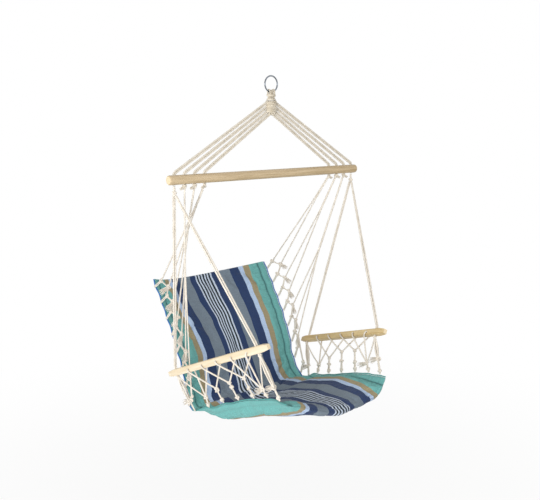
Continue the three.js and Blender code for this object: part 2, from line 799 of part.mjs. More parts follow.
// A loop of the net, from its knot to the piping, on which the lowest corner of its end bears
function netLoop(panel, k, way, knot) {
  const { point, outward } = clothPlace(panel, (k + 0.5) / panel.loops, way);
  const bearing = point.addScaledVector(outward, pipingDiameter + pipingGap + seatGap);
  const along = knot.clone().sub(bearing).normalize();
  const side = pairSide.clone().addScaledVector(along, -pairSide.dot(along)).normalize();
  const up = along.clone().cross(side);
  const cord = netCordDiameter * twinShares.cord * pinched[1];
  const spacing = netCordDiameter * twinShares.spacing * pinched[1];
  const reach = (abs(outward.dot(side)) * (cord + spacing) + abs(outward.dot(up)) * cord) / 2;
  return twinStrand([knot, bearing.addScaledVector(outward, reach)], pinched);
}

// Back net: lines fan from three knots under the bar to two rows of knots beside the cloth
const lineHoles = [0, 0, 1, 1, 2, 2, 2]; // hole of the bar that each line comes from
const innerKnotStandoff = 43; // from the cloth's edge to the first row of knots
const outerKnotStandoff = 14; // from the first row to the second
const outerKnotSpread = 26; // how far the highest knot of the second row stands out sideways
const lineSplitShare = 0.25; // how far down the lines of one knot run together

function backNetKnots(way) {
  const holeOf = (k) => barKnotAt(lineHoles[min(k, lineHoles.length - 1)], way);
  const inner = [];
  for (let k = 0; k < backLoops; k++) {
    const edge = edgeLoop(backPanel, k, way);
    inner.push(towards(edge, holeOf(k), innerKnotStandoff));
  }
  const outer = [];
  for (let k = 1; k < lineHoles.length; k++) {
    const knot = towards(mix(inner[k - 1], inner[k], 0.5), holeOf(k), outerKnotStandoff);
    const spread = outerKnotSpread * (1 - k / lineHoles.length);
    outer.push(knot.addScaledVector(acrossChair, way * spread));
  }
  return { inner, outer };
}

function makeBackNet(side) {
  const { inner, outer } = backNetKnots(side.way);
  const pieces = [];
  const rooms = [];
  inner.forEach((knot, k) => {
    pieces.push(netKnot(knot), netLoop(backPanel, k, side.way, knot));
  });
  outer.forEach((knot, k) => {
    pieces.push(netKnot(knot));
    pieces.push(strand([inner[k], knot]), strand([knot, inner[k + 1]]));
    const sideways = 1 - (k + 1) / outer.length;
    const tail = vector(side.way * sideways, 0, sideways - 1.3).setLength(tasselLength);
    pieces.push(tassel(knot, tail.add(knot)));
  });
  const lastInner = inner[inner.length - 1];
  pieces.push(twinStrand([outer[outer.length - 1], lastInner]));
  const ends = [inner[0], ...outer];
  for (let hole = 0; hole < outermost; hole++) {
    const targets = ends.filter((_, k) => lineHoles[k] === hole);
    const middle = targets
      .reduce((sum, p) => sum.add(p), vector(0, 0, 0))
      .divideScalar(targets.length);
    const knot = barKnotAt(hole, side.way);
    const start = towards(knot, middle, knotTuck);
    const split = mix(knot, middle, lineSplitShare);
    pieces.push(twinStrand([start, split]));
    for (const target of targets) pieces.push(strand([split, target]));
    rooms.push(...knotRoom(knot, knotDiameter, wrapTurns.underBar));
  }
  addMesh(`back_net_${side.name}`, geometryOf(cutFrom(joined(pieces), rooms)), cotton);
}

// Armrest net. Each cord through the armrest sends one leg forwards on the side that faces the
// viewer of the photograph and one leg backwards on the other side.
const forwardKnot = [1, 2, 3, 4, 4]; // knot that takes the forward leg of each hole
const rearwardKnot = [0, 0, 1, 2, 3];
const armNetKnots = 6;
const cornerKnotShare = 0.3; // from the seat's rear corner to the armrest's rear end

function armLocal(side, point) {
  const { along, up, left, middle, outer } = side.arm;
  const from = point.clone().sub(middle);
  return {
    distance: from.dot(along) + armLength / 2,
    outwards: from.dot(left) * outer,
    upwards: from.dot(up),
  };
}

// A leg leaves its hole, lies down the armrest's face and runs on to its knot
function armLeg(side, hole, face, knot) {
  const beside = face * (armWidth / 2 + netCordDiameter / 2 + seatGap);
  const below = -(armHeight / 2 + netCordDiameter / 2 + seatGap);
  const start = armPoint(side, netHoleAt(hole), 0, 0);
  const mouth = armPoint(side, netHoleAt(hole), beside, 0);
  const end = armLocal(side, knot);
  const share = below / end.upwards;
  const distance = netHoleAt(hole) + (end.distance - netHoleAt(hole)) * share;
  const straight = beside + (end.outwards - beside) * share;
  const outwards = face * max(face * straight, abs(beside));
  return strand([start, mouth, armPoint(side, distance, outwards, below), knot]);
}

function armNetKnotPlaces(side) {
  const tops = Array.from({ length: armNetKnots }, () => []);
  for (let hole = 0; hole < armNetHoles; hole++) {
    const bottom = armPoint(side, netHoleAt(hole), 0, -armHeight / 2);
    tops[forwardKnot[hole]].push(bottom);
    tops[rearwardKnot[hole]].push(bottom);
  }
  tops[armNetKnots - 1].push(underArm(side, "front"));
  return tops.map((list, k) => {
    const edge = edgeLoop(seatPanel, k + 1, side.way);
    const middle = list.reduce((sum, p) => sum.add(p), vector(0, 0, 0)).divideScalar(list.length);
    return {
      knot: mix(edge, middle, side.knotShares[k]),
      fork: mix(edge, middle, side.forkShares[k]),
    };
  });
}

function makeArmNet(side) {
  const places = armNetKnotPlaces(side);
  const pieces = [];
  places.forEach(({ knot, fork }, k) => {
    pieces.push(netKnot(knot), netLoop(seatPanel, k + 1, side.way, knot));
    if (fork.distanceTo(knot) > netCordDiameter) pieces.push(twinStrand([fork, knot]));
  });
  for (let hole = 0; hole < armNetHoles; hole++) {
    const forward = places[forwardKnot[hole]].fork;
    const rearward = places[rearwardKnot[hole]].fork;
    pieces.push(armLeg(side, hole, side.visibleFace, forward));
    pieces.push(armLeg(side, hole, -side.visibleFace, rearward));
  }
  const rear = underArm(side, "rear");
  const front = underArm(side, "front");
  const corner = edgeLoop(seatPanel, 0, side.way);
  const cornerKnot = mix(corner, rear, cornerKnotShare);
  pieces.push(netKnot(cornerKnot, knotDiameter));
  pieces.push(twinStrand([towards(rear, cornerKnot, knotTuck), cornerKnot], spreading));
  pieces.push(netLoop(seatPanel, 0, side.way, cornerKnot));
  pieces.push(strand([towards(rear, cornerKnot, knotTuck), places[0].fork]));
  const last = places[armNetKnots - 1];
  const lastButOne = places[armNetKnots - 2];
  pieces.push(netKnot(last.knot, knotDiameter));
  pieces.push(twinStrand([towards(front, last.knot, knotTuck), last.knot], spreading));
  pieces.push(strand([towards(front, last.knot, knotTuck), lastButOne.fork]));
  const backwards = vector(0, tasselLength, -tasselLength / 2);
  for (const knot of [cornerKnot, lastButOne.knot, last.knot]) {
    pieces.push(tassel(knot, knot.clone().add(backwards)));
  }
  const rooms = [rear, front].flatMap((knot) =>
    knotRoom(knot, underArmKnotDiameter, wrapTurns.underArm),
  );
  addMesh(`arm_net_${side.name}`, geometryOf(cutFrom(joined(pieces), rooms)), cotton);
}

makeRing();
makeNeckLoops();
makeTopKnot();
makeSennit();
makeFanCords();
makeSpreaderBar();
makePad("back_pad", backPanel, 1);
makePad("seat_pad", seatPanel, -1);
makePiping("back", backPanel, 1);
makePiping("seat", seatPanel, -1);
makeArmrests();
makeArmYokes();
makeArmCords();
for (const side of sides) {
  makeBackNet(side);
  makeArmNet(side);
}

export default chair;
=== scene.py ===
# %% [markdown]
# # Striped hammock chair
#
# The chair hangs from one steel ring. A flat knotted neck carries eight pairs of cotton cord,
# which spread to holes in a wooden bar. From the bar hang a padded striped seat and back, held
# at their edges by knotted nets, and two wooden armrests on cords of their own.
#
# The CAD frame fixes where everything is. This script gives each piece its look: rope that is
# really twisted, knots that really cross, padding that is crowned and drawn in at its seams.
# Lengths are millimetres, as in the CAD source, and become metres only when a mesh is made.

# %% Frame and modules
import random
from math import cos, pi, radians, sin, sqrt

import bpy
import numpy as np
from mathutils import Matrix, Vector, noise


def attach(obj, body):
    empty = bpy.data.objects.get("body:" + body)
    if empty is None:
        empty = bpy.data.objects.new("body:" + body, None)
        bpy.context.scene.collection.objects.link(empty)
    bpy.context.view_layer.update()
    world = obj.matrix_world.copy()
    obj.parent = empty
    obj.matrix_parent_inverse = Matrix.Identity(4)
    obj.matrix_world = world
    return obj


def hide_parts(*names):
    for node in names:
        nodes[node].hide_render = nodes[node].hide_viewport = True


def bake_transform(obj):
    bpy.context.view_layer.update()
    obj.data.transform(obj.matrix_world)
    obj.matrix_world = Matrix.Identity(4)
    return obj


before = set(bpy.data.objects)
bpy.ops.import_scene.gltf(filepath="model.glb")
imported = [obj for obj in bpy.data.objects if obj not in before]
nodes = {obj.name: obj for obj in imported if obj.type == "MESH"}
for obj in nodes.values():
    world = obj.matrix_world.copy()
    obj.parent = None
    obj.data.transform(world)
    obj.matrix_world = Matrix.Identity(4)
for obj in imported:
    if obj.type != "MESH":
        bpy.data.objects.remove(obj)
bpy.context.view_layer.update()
MM = 0.001
WAYS = {"right": -1, "left": 1}  # the sitter's right hand is at -X

# %% [markdown]
# ## Node trees
#
# Materials, the floor and the world could each be built node by node in full. One small class
# that adds, sets and joins nodes does for all of them.

# %% Node trees
def linear(code):
    """A colour as written on a screen, #rrggbb, as the light values that shaders use."""
    channels = [int(code[i:i + 2], 16) / 255 for i in (1, 3, 5)]
    return [c / 12.92 if c <= 0.04045 else ((c + 0.055) / 1.055) ** 2.4 for c in channels] + [1]


def set_inputs(node, inputs):
    for name, value in dict(inputs).items():
        node.inputs[name].default_value = value


class Tree:
    """Short ways to add and join the nodes of a material or of the world."""

    def __init__(self, tree):
        self.tree = tree

    def add(self, kind, inputs=(), **values):
        node = self.tree.nodes.new("ShaderNode" + kind)
        for name, value in values.items():
            setattr(node, name, value)
        set_inputs(node, inputs)
        return node

    def join(self, output, target):
        self.tree.links.new(output, target)

    def give(self, sockets, values):
        """Joins each socket to its value if that is an output, and sets it otherwise."""
        for socket, value in zip(sockets, values):
            if hasattr(value, "is_linked"):
                self.join(value, socket)
            elif value is not None:
                socket.default_value = value

    def math(self, operation, a, b=None, **values):
        node = self.add("Math", operation=operation, **values)
        self.give(node.inputs, (a, b))
        return node.outputs[0]


class Shader(Tree):
    """A new material, its surface set by the names of the sockets."""

    def __init__(self, name, inputs=()):
        self.material = bpy.data.materials.new(name)
        self.material.use_nodes = True
        super().__init__(self.material.node_tree)
        self.surface = self.tree.nodes["Principled BSDF"]
        set_inputs(self.surface, inputs)

    def noise(self, scale, detail=3, vector=None):
        node = self.add("TexNoise", {"Scale": scale, "Detail": detail})
        if vector is not None:
            self.join(vector, node.inputs["Vector"])
        return node

    def ramp(self, factor, stops, interpolation="LINEAR"):
        node = self.add("ValToRGB")
        band = node.color_ramp
        band.interpolation = interpolation
        while len(band.elements) < len(stops):
            band.elements.new(0.5)
        for element, (place, colour) in zip(band.elements, stops):
            element.position = place
            element.color = colour
        self.join(factor, node.inputs[0])
        return node.outputs[0]

    def blend(self, factor, a, b, mode="MIX"):
        node = self.add("Mix", data_type="RGBA", blend_type=mode)
        self.give([node.inputs[i] for i in (0, 6, 7)], (factor, a, b))
        return node.outputs[2]

    def bump(self, height, distance, strength):
        node = self.add("Bump", {"Distance": distance * MM, "Strength": strength})
        self.join(height, node.inputs["Height"])
        self.join(node.outputs[0], self.surface.inputs["Normal"])


# %% [markdown]
# ## Camera, light and background
#
# A camera could be set by eye, but the bar, the ring and the armrests in the photograph fix it:
# it stands off the sitter's right front, a little above the seat, and looks slightly down. The
# background is white because the world shows white to the camera and to mirror reflections
# only, so nothing extra falls on the cloth. The floor is far below, as under any hanging chair.

# %% Camera
IMAGE_WIDTH = 540
FOCAL_PIXELS = 700
SENSOR_WIDTH = 36
CAMERA_PLACE = (-1484, -1843, -128.7)
CAMERA_HEADING = radians(38.75)  # from +Y towards +X
CAMERA_PITCH = radians(-10.8)


def make_camera():
    data = bpy.data.cameras.new("camera")
    data.sensor_width = SENSOR_WIDTH
    data.lens = FOCAL_PIXELS / IMAGE_WIDTH * SENSOR_WIDTH
    camera = bpy.data.objects.new("camera", data)
    bpy.context.scene.collection.objects.link(camera)
    level = cos(CAMERA_PITCH)
    looks = Vector((sin(CAMERA_HEADING) * level, cos(CAMERA_HEADING) * level, sin(CAMERA_PITCH)))
    camera.rotation_euler = looks.to_track_quat("-Z", "Y").to_euler()
    camera.location = Vector(CAMERA_PLACE) * MM
    bpy.context.scene.camera = camera


make_camera()

# %% Light, background and floor
FLOOR_DROP = 1750
FLOOR_SIZE = 90000
SHADOW_REACH = 2600  # from the middle, how far the floor shows its own light and shadow
SHADOW_SHARE = 0.22
WORLD_LIGHT = 0.56
WORLD_COLOUR = (1, 0.99, 0.97, 1)
LIGHT_AIM = (0, 0, -900)  # the middle of the chair
AREA_LIGHTS = {  # place, size and power in watts
    "key": ((-2900, -1500, -200), 1500, 82),
    "fill": ((1500, -2800, 300), 1800, 26),
    "top": ((-300, 500, 2300), 1700, 5),
}


def shown_white(tree, shader, output_name, kept=None):
    """Mixes plain white over a shader for camera, mirror and glass rays, less a kept share."""
    rays = tree.add("LightPath").outputs
    seen = tree.math("MAXIMUM", rays["Is Camera Ray"], rays["Is Glossy Ray"])
    seen = tree.math("MAXIMUM", seen, rays["Is Transmission Ray"])
    if kept is not None:
        seen = tree.math("SUBTRACT", seen, kept, use_clamp=True)
    white = tree.add("Emission" if kept is not None else "Background",
                     {"Color": (1, 1, 1, 1), "Strength": 1})
    mixer = tree.add("MixShader")
    tree.give(mixer.inputs, (seen, shader.outputs[0], white.outputs[0]))
    tree.join(mixer.outputs[0], tree.tree.nodes[output_name].inputs["Surface"])


def kept_near_middle(tree):
    """A share that fades out with the distance from the middle of the floor."""
    length = tree.add("VectorMath", operation="LENGTH")
    tree.join(tree.add("TexCoord").outputs["Object"], length.inputs[0])
    fade = tree.add("MapRange", {"From Min": 0, "From Max": SHADOW_REACH * MM,
                                 "To Min": SHADOW_SHARE, "To Max": 0},
                    interpolation_type="SMOOTHSTEP")
    tree.join(length.outputs["Value"], fade.inputs["Value"])
    return fade.outputs["Result"]


def make_studio():
    scene = bpy.context.scene
    scene.view_settings.view_transform = "Standard"
    world = bpy.data.worlds.new("studio")
    scene.world = world
    world.use_nodes = True
    soft = world.node_tree.nodes["Background"]
    set_inputs(soft, {"Color": WORLD_COLOUR, "Strength": WORLD_LIGHT})
    shown_white(Tree(world.node_tree), soft, "World Output")
    aim = Vector(LIGHT_AIM) * MM
    for name, (place, size, watts) in AREA_LIGHTS.items():
        data = bpy.data.lights.new(name, "AREA")
        data.size = size * MM
        data.energy = watts
        lamp = bpy.data.objects.new(name, data)
        scene.collection.objects.link(lamp)
        lamp.location = Vector(place) * MM
        lamp.rotation_euler = (aim - lamp.location).to_track_quat("-Z", "Y").to_euler()
    bpy.ops.mesh.primitive_plane_add(size=FLOOR_SIZE * MM, location=(0, 0, -FLOOR_DROP * MM))
    floor = bpy.context.object
    floor.name = "floor"
    paint = Shader("floor_paint", {"Base Color": (0.9, 0.9, 0.9, 1), "Roughness": 0.9})
    shown_white(paint, paint.surface, "Material Output", kept_near_middle(paint))
    floor.data.materials.append(paint.material)


make_studio()

# %% [markdown]
# ## Materials
#
# Every surface here could carry a picture, but pictures stretch and blur. Node materials stay
# sharp at any distance: the cloth reads its stripes from a coordinate that runs across the
# panel in millimetres, the wood from its own long axis, and the cotton from fine noise.

# %% Steel, cotton and piping
def cotton(name, code, shade):
    """Undyed cotton: pale and matt, darker in random blotches, and with a downy edge."""
    shader = Shader(name, {"Roughness": 0.92, "Sheen Weight": 0.25, "Specular IOR Level": 0.2})
    place = shader.add("TexCoord").outputs["Object"]
    blotch = shader.noise(45, 3, place)
    tone = shader.ramp(blotch.outputs["Fac"], [(0.3, linear(shade)), (0.62, linear(code))])
    shader.join(tone, shader.surface.inputs["Base Color"])
    shader.bump(shader.noise(1400, 2, place).outputs["Fac"], 0.3, 0.25)
    return shader.material


def binding(name, code):
    shader = Shader(name, {"Base Color": linear(code), "Roughness": 0.85, "Sheen Weight": 0.1})
    place = shader.add("TexCoord").outputs["Object"]
    shader.bump(shader.noise(1500, 2, place).outputs["Fac"], 0.25, 0.5)
    return shader.material


# The steel's grey is partly its own and partly painted dark reflection: the world shows white to
# mirror rays, so the ring's dark look is put into its base colour, and the lamps give its
# highlights.
STEEL = Shader("plated_steel", {"Base Color": linear("#6d7379"), "Metallic": 1,
                                "Roughness": 0.12}).material
CORD = cotton("cotton_cord", "#e2dbd0", "#d5ccbe")
SENNIT = cotton("cotton_sennit", "#d8cfbe", "#bfb49f")
# The fan is the same cotton as the other cords; its greyer tone is painted shade.
SHADED_FAN_CORD = cotton("cotton_fan_shaded", "#d8d0c2", "#cac1b1")
BINDINGS = {"back": binding("blue_binding", "#2f6bab"),
            "seat": binding("faded_binding", "#4d938f")}

# %% Striped canvas
# Stripes by their outer edge, in millimetres from the middle of the cloth to one side. The
# other side mirrors them.
STRIPE_HALF_WIDTH = 279
STRIPES = [
    (3.6, "#26323a"), (10.6, "#c3cfe0"), (17.8, "#26323a"), (24.8, "#c3cfe0"), (32, "#26323a"),
    (39, "#c3cfe0"), (66, "#2a3d63"), (121, "#75828e"), (161, "#2a3d63"), (182, "#b3c8e4"),
    (207, "#9d9172"), (279, "#6fb0ac"),
]
SEAM_PLACE = 248.5  # across, in the same millimetres
# Along the seam line the top of the cloth is darkened: painted shade of the seam's groove.
SEAM_PAINTED_SHADE_REACH = 9
SEAM_PAINTED_SHADE_STOPS = [(0.12, (0.34, 0.38, 0.4, 1)), (0.35, (0.72, 0.75, 0.76, 1)), (1, (1, 1, 1, 1))]
PUCKER_SCALE = (0.016, 0.07, 1)
YARNS_PER_MM = 1.1


def striped_canvas():
    """Colour from the cloth's own coordinate, and the little ridges of a plain weave."""
    shader = Shader("striped_canvas", {"Roughness": 0.93, "Sheen Weight": 0.08,
                                       "Specular IOR Level": 0.25})
    math = shader.math
    across = shader.add("UVMap", uv_map="cloth").outputs[0]
    parts = shader.add("SeparateXYZ")
    shader.join(across, parts.inputs[0])
    u, v = parts.outputs[0], parts.outputs[1]
    wobble = shader.noise(0.05, 2, across)
    place_across = math("ABSOLUTE", math("ADD", u, math("SUBTRACT", wobble.outputs["Fac"], 0.5)))
    stops, start = [], 0.0
    for outer, code in STRIPES:
        stops.append((start, linear(code)))
        start = outer / (STRIPE_HALF_WIDTH + 1)
    share = math("DIVIDE", place_across, STRIPE_HALF_WIDTH + 1)
    stripes = shader.ramp(share, stops, "CONSTANT")
    warp, weft = (math("SINE", math("MULTIPLY", place, 2 * pi * YARNS_PER_MM)) for place in (u, v))
    weave = math("MULTIPLY", warp, weft)
    slub = shader.noise(0.35, 3, across)
    light = math("ADD", math("MULTIPLY", weave, 0.12), slub.outputs["Fac"])
    mottle_and_seam_shade = shader.ramp(light, [(0.3, (0.76, 0.76, 0.78, 1)), (0.75, (1.13, 1.13, 1.12, 1))])
    # Painted shade: the top of the cloth darkens along the seam line, where the seam's groove lies
    # in shade.
    seam = math("ABSOLUTE", math("SUBTRACT", place_across, SEAM_PLACE))
    painted_seam_shade = shader.ramp(math("DIVIDE", seam, SEAM_PAINTED_SHADE_REACH), SEAM_PAINTED_SHADE_STOPS)
    upper = math("GREATER_THAN", v, 0)
    mottle_and_seam_shade = shader.blend(upper, mottle_and_seam_shade, shader.blend(1.0, mottle_and_seam_shade, painted_seam_shade, "MULTIPLY"))
    shader.join(shader.blend(1.0, stripes, mottle_and_seam_shade, "MULTIPLY"), shader.surface.inputs["Base Color"])
    puckered = shader.add("Mapping", {"Scale": PUCKER_SCALE})
    shader.join(across, puckered.inputs["Vector"])
    crumple = shader.noise(1, 4, puckered.outputs[0])
    shader.bump(math("ADD", crumple.outputs["Fac"], math("MULTIPLY", weave, 0.02)), 11, 0.6)
    return shader.material


CANVAS = striped_canvas()

# %% Wood
def planed_wood(name, light, dark, along):
    """Straight grain that runs along one axis of the frame: long streaks and fine pores."""
    shader = Shader(name, {"Roughness": 0.5, "Coat Weight": 0.08})
    turn = Vector((1, 0, 0)).rotation_difference(Vector(along)).inverted()
    turned = shader.add("Mapping", {"Rotation": turn.to_euler()})
    stretched = shader.add("Mapping", {"Scale": (0.06, 1, 1)})
    shader.join(shader.add("TexCoord").outputs["Object"], turned.inputs["Vector"])
    shader.join(turned.outputs[0], stretched.inputs["Vector"])
    streak = shader.noise(150, 4, stretched.outputs[0])
    band = shader.noise(28, 2, stretched.outputs[0])
    mixed = shader.math("ADD", shader.math("MULTIPLY", streak.outputs["Fac"], 0.55),
                        shader.math("MULTIPLY", band.outputs["Fac"], 0.45))
    tone = shader.ramp(mixed, [(0.38, linear(dark)), (0.6, linear(light))])
    shader.join(tone, shader.surface.inputs["Base Color"])
    shader.bump(streak.outputs["Fac"], 0.1, 0.15)
    return shader.material


END_GRAIN = Shader("end_grain", {"Base Color": linear("#dccaa8"), "Roughness": 0.7}).material

# %% [markdown]
# ## Meshes, rope and knots
#
# A cord could be a plain tube, or a curve with a twisted texture. Cotton cord is three strands
# laid round each other, and close up its outline shows that, so here its section has three
# lobes and turns as it runs. A knot is a real trefoil of the same cord, which is the line that
# an overhand knot follows, and a frayed end is a spray of thin curling threads.

# %% Mesh helpers
def as_object(mesh, material):
    mesh.shade_smooth()
    mesh.materials.append(material)
    piece = bpy.data.objects.new(mesh.name, mesh)
    bpy.context.scene.collection.objects.link(piece)
    return piece


class Skin:
    """Collects closed tubes and sheets, then makes one mesh object of them."""

    def __init__(self):
        self.points, self.faces, self.count = [], [], 0

    def tube(self, rings, closed=False):
        """A tube with flat ends, or one whose last ring meets its first."""
        rings = np.asarray(rings, float)
        rows, around = rings.shape[:2]
        index = np.arange(rows * around).reshape(rows, around) + self.count
        if closed:
            index = np.concatenate([index, index[:1]])
        after = np.roll(index, -1, axis=1)
        quads = np.stack([index[:-1], after[:-1], after[1:], index[1:]], -1).reshape(-1, 4)
        self.faces += quads.tolist()
        if not closed:
            self.faces += [index[0][::-1].tolist(), index[-1].tolist()]
        self.points.append(rings.reshape(-1, 3))
        self.count += rows * around

    def make(self, name, material, body=None, replaces=()):
        mesh = bpy.data.meshes.new(name)
        mesh.from_pydata((np.concatenate(self.points) * MM).tolist(), [], self.faces)
        mesh.validate()
        piece = as_object(mesh, material)
        if replaces:
            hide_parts(*replaces)
        if body:
            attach(piece, body)
        return piece


def unit(v):
    v = np.asarray(v, float)
    return v / np.linalg.norm(v, axis=-1, keepdims=True)


def towards(start, end, length):
    start = np.asarray(start, float)
    return start + unit(np.asarray(end, float) - start) * length


def mix(a, b, share):
    return np.asarray(a, float) * (1 - share) + np.asarray(b, float) * share


def full_turn(count):
    return np.linspace(0, 2 * pi, count, endpoint=False)


def run_along(points):
    """How far along a path each of its points is."""
    return np.concatenate([[0], np.cumsum(np.linalg.norm(np.diff(points, axis=0), axis=1))])


CURVE_SAMPLES = 24
LONGEST_PULL = 60  # of a smooth path on its neighbouring stretches


def smooth_path(points, step):
    """Points a step apart on a smooth curve through the given ones."""
    given = np.asarray(points, float)
    if len(given) == 2:
        curve = given
    else:
        ends = [2 * given[0] - given[1]], [2 * given[-1] - given[-2]]
        padded = np.concatenate([ends[0], given, ends[1]])
        pieces = []
        for p0, p1, p2, p3 in zip(padded, padded[1:], padded[2:], padded[3:]):
            pull = min(np.linalg.norm(p2 - p1), LONGEST_PULL)
            before, after = unit(p2 - p0) * pull, unit(p3 - p1) * pull
            t = np.linspace(0, 1, CURVE_SAMPLES, endpoint=False)[:, None]
            pieces.append(
                (2 * t**3 - 3 * t**2 + 1) * p1 + (t**3 - 2 * t**2 + t) * before
                + (3 * t**2 - 2 * t**3) * p2 + (t**3 - t**2) * after
            )
        curve = np.concatenate([*pieces, given[-1:]])
    run = run_along(curve)
    places = np.linspace(0, run[-1], max(int(run[-1] / step), 2) + 1)
    return np.stack([np.interp(places, run, curve[:, i]) for i in range(3)], -1)


def path_frames(path, hint=(1, 0, 0)):
    """The two directions across a path at each point, carried along without a twist."""
    tangents = unit(np.gradient(path, axis=0))
    side = np.asarray(hint, float)
    if abs(side @ tangents[0]) > 0.95:
        side = np.array([0.0, 1.0, 0.0])
    sides = []
    for tangent in tangents:
        side = unit(side - tangent * (side @ tangent))
        sides.append(side)
    sides = np.array(sides)
    return sides, np.cross(tangents, sides)


def circles(angle, across, over):
    """Unit circles across a path, one at each of its points."""
    return np.cos(angle)[..., None] * across[:, None] + np.sin(angle)[..., None] * over[:, None]


# %% Rope, knots and frayed ends
LOBES = 3
POINTS_AROUND = 12
LOBE_DEPTH = 0.07
TURN_LENGTH_SHARE = 3.4  # length of one full turn of the strands, of the cord's diameter
RINGS_PER_TURN = 9
AROUND = full_turn(POINTS_AROUND)
KNOT_SAMPLES = 48
KNOT_LIFT_SHARE = 0.45  # how far a knot's crossings stand apart, of its cord
KNOT_LAY_TURNS = 4


def strand_radii(diameter):
    return diameter / 2 * (1 - LOBE_DEPTH + LOBE_DEPTH * np.abs(np.cos(LOBES / 2 * AROUND)))


def rope_rings(path, diameter, start_turn=0.0):
    turn = start_turn + 2 * pi * run_along(path) / (diameter * TURN_LENGTH_SHARE)
    across = circles(AROUND + turn[:, None], *path_frames(path))
    return path[:, None] + strand_radii(diameter)[:, None] * across


def add_rope(skin, points, diameter):
    step = diameter * TURN_LENGTH_SHARE / RINGS_PER_TURN
    skin.tube(rope_rings(smooth_path(points, step), diameter))


def add_pair(skin, points, diameter, spacing, hint=(1, 0, 0), scales=(1, 1)):
    """Two ropes side by side, hint being the way from one to the other."""
    points = np.asarray(points, float)
    step = diameter * TURN_LENGTH_SHARE / RINGS_PER_TURN
    path = smooth_path(points, step)
    sides, _ = path_frames(path, hint)
    apart = np.interp(np.linspace(0, 1, len(path)), np.linspace(0, 1, len(scales)), scales)
    for way in (-1, 1):
        half = way * spacing / 2 * apart
        skin.tube(rope_rings(path + sides * half[:, None], diameter, start_turn=way))


def add_knot(skin, centre, diameter, cord, turn):
    """An overhand knot drawn tight: a trefoil whose crossings just clear the cord."""
    centre = np.asarray(centre, float)
    size = (diameter - cord) / 6  # the trefoil below is six units across
    t = full_turn(KNOT_SAMPLES)
    curve = np.stack([
        size * (np.sin(t) + 2 * np.sin(2 * t)),
        size * (np.cos(t) - 2 * np.cos(2 * t)),
        -KNOT_LIFT_SHARE * cord * np.sin(3 * t),
    ], -1)
    curve = curve @ np.array(turn.to_3x3()).T + centre
    tangents = unit(np.roll(curve, -1, 0) - np.roll(curve, 1, 0))
    radial = unit(np.cross(tangents, unit(curve - centre + 1e-6)))
    across = circles(AROUND + KNOT_LAY_TURNS * t[:, None], radial, np.cross(tangents, radial))
    skin.tube(curve[:, None] + strand_radii(cord)[:, None] * across, closed=True)


dice = random.Random(7)


def loose_turn(lean=40):
    """How a hand-tied knot happens to lie."""
    angles = [radians(dice.uniform(-lean, lean)) for _ in range(2)]
    upright = Matrix.Rotation(pi / 2, 3, "X")
    spin = Matrix.Rotation(dice.uniform(0, 2 * pi), 3, "Z")
    return Matrix.Rotation(angles[0], 3, "X") @ Matrix.Rotation(angles[1], 3, "Y") @ spin @ upright


THREADS = 26
THREAD_DIAMETER = 2.3
THREAD_SIDES = 5
THREAD_TIP_SHARE = 0.45  # thickness of a thread's tip, of its root
THREAD_ROOT_SHARE = 0.12  # how far from the axis it leaves the knot, of the tassel's diameter
# Of the tassel's length, of the thread's reach sideways, and of its curl
THREAD_ROUTE_SHARES = [(0.4, 0.7, 0), (0.75, 1, 0.4), (1, 1, -0.3)]


def add_tassel(skin, start, end, diameter):
    """A frayed end: threads that leave the knot together and spread as they curl."""
    start, end = np.asarray(start, float), np.asarray(end, float)
    axis = unit(end - start)
    length = np.linalg.norm(end - start)
    sides, ups = path_frames(np.array([start, end]))
    angle = full_turn(THREAD_SIDES)
    for i in range(THREADS):
        turn = 2 * pi * i / THREADS + dice.uniform(-0.3, 0.3)
        out = cos(turn) * sides[0] + sin(turn) * ups[0]
        reach = dice.uniform(0.35, 1) * diameter / 2
        curl = dice.uniform(-0.25, 0.25) * diameter
        tip = dice.uniform(0.85, 1.08)
        route = [start + out * diameter * THREAD_ROOT_SHARE]
        for along, sideways, curled in THREAD_ROUTE_SHARES:
            along = along * (tip if along == 1 else 1)
            route.append(start + axis * length * along + out * (reach * sideways + curl * curled))
        path = smooth_path(route, length / 7)
        radii = THREAD_DIAMETER / 2 * np.linspace(1, THREAD_TIP_SHARE, len(path))
        skin.tube(path[:, None] + radii[:, None, None] * circles(angle, *path_frames(path)))


# %% [markdown]
# ## Ring and neck
#
# The ring could stay as the CAD torus, but its wire would show facets in the highlight, so a
# finer torus with the small bulge of its weld stands for it. The neck is a column of square
# knots. Each working cord crosses in front of the core and back again, and a second pair
# mirrors it behind, so the crossings fall where a real sennit has them.

# %% Ring
RING_INNER_DIAMETER = 47.4
RING_WIRE_DIAMETER = 4.8
RING_RADIUS = (RING_INNER_DIAMETER + RING_WIRE_DIAMETER) / 2
RING_CENTRE_Z = -RING_INNER_DIAMETER / 2
WELD_TURN = radians(148)
WELD_SWELL, WELD_SPREAD = 0.16, 0.05
RING_FACETS, WIRE_FACETS = 128, 20


def make_ring():
    skin = Skin()
    around = full_turn(RING_FACETS)
    swell = 1 + WELD_SWELL * np.exp(-(((around - WELD_TURN) / WELD_SPREAD) ** 2))
    radii = (RING_WIRE_DIAMETER / 2 * swell)[:, None, None]
    out = np.stack([np.cos(around), 0 * around, np.sin(around)], -1)
    middle = out * RING_RADIUS + [0, 0, RING_CENTRE_Z]
    across = circles(full_turn(WIRE_FACETS), out, np.array([[0, 1, 0]]))
    skin.tube(middle[:, None] + across * radii, closed=True)
    return skin.make("ring", STEEL, "ring", ["steel_ring"])


make_ring()

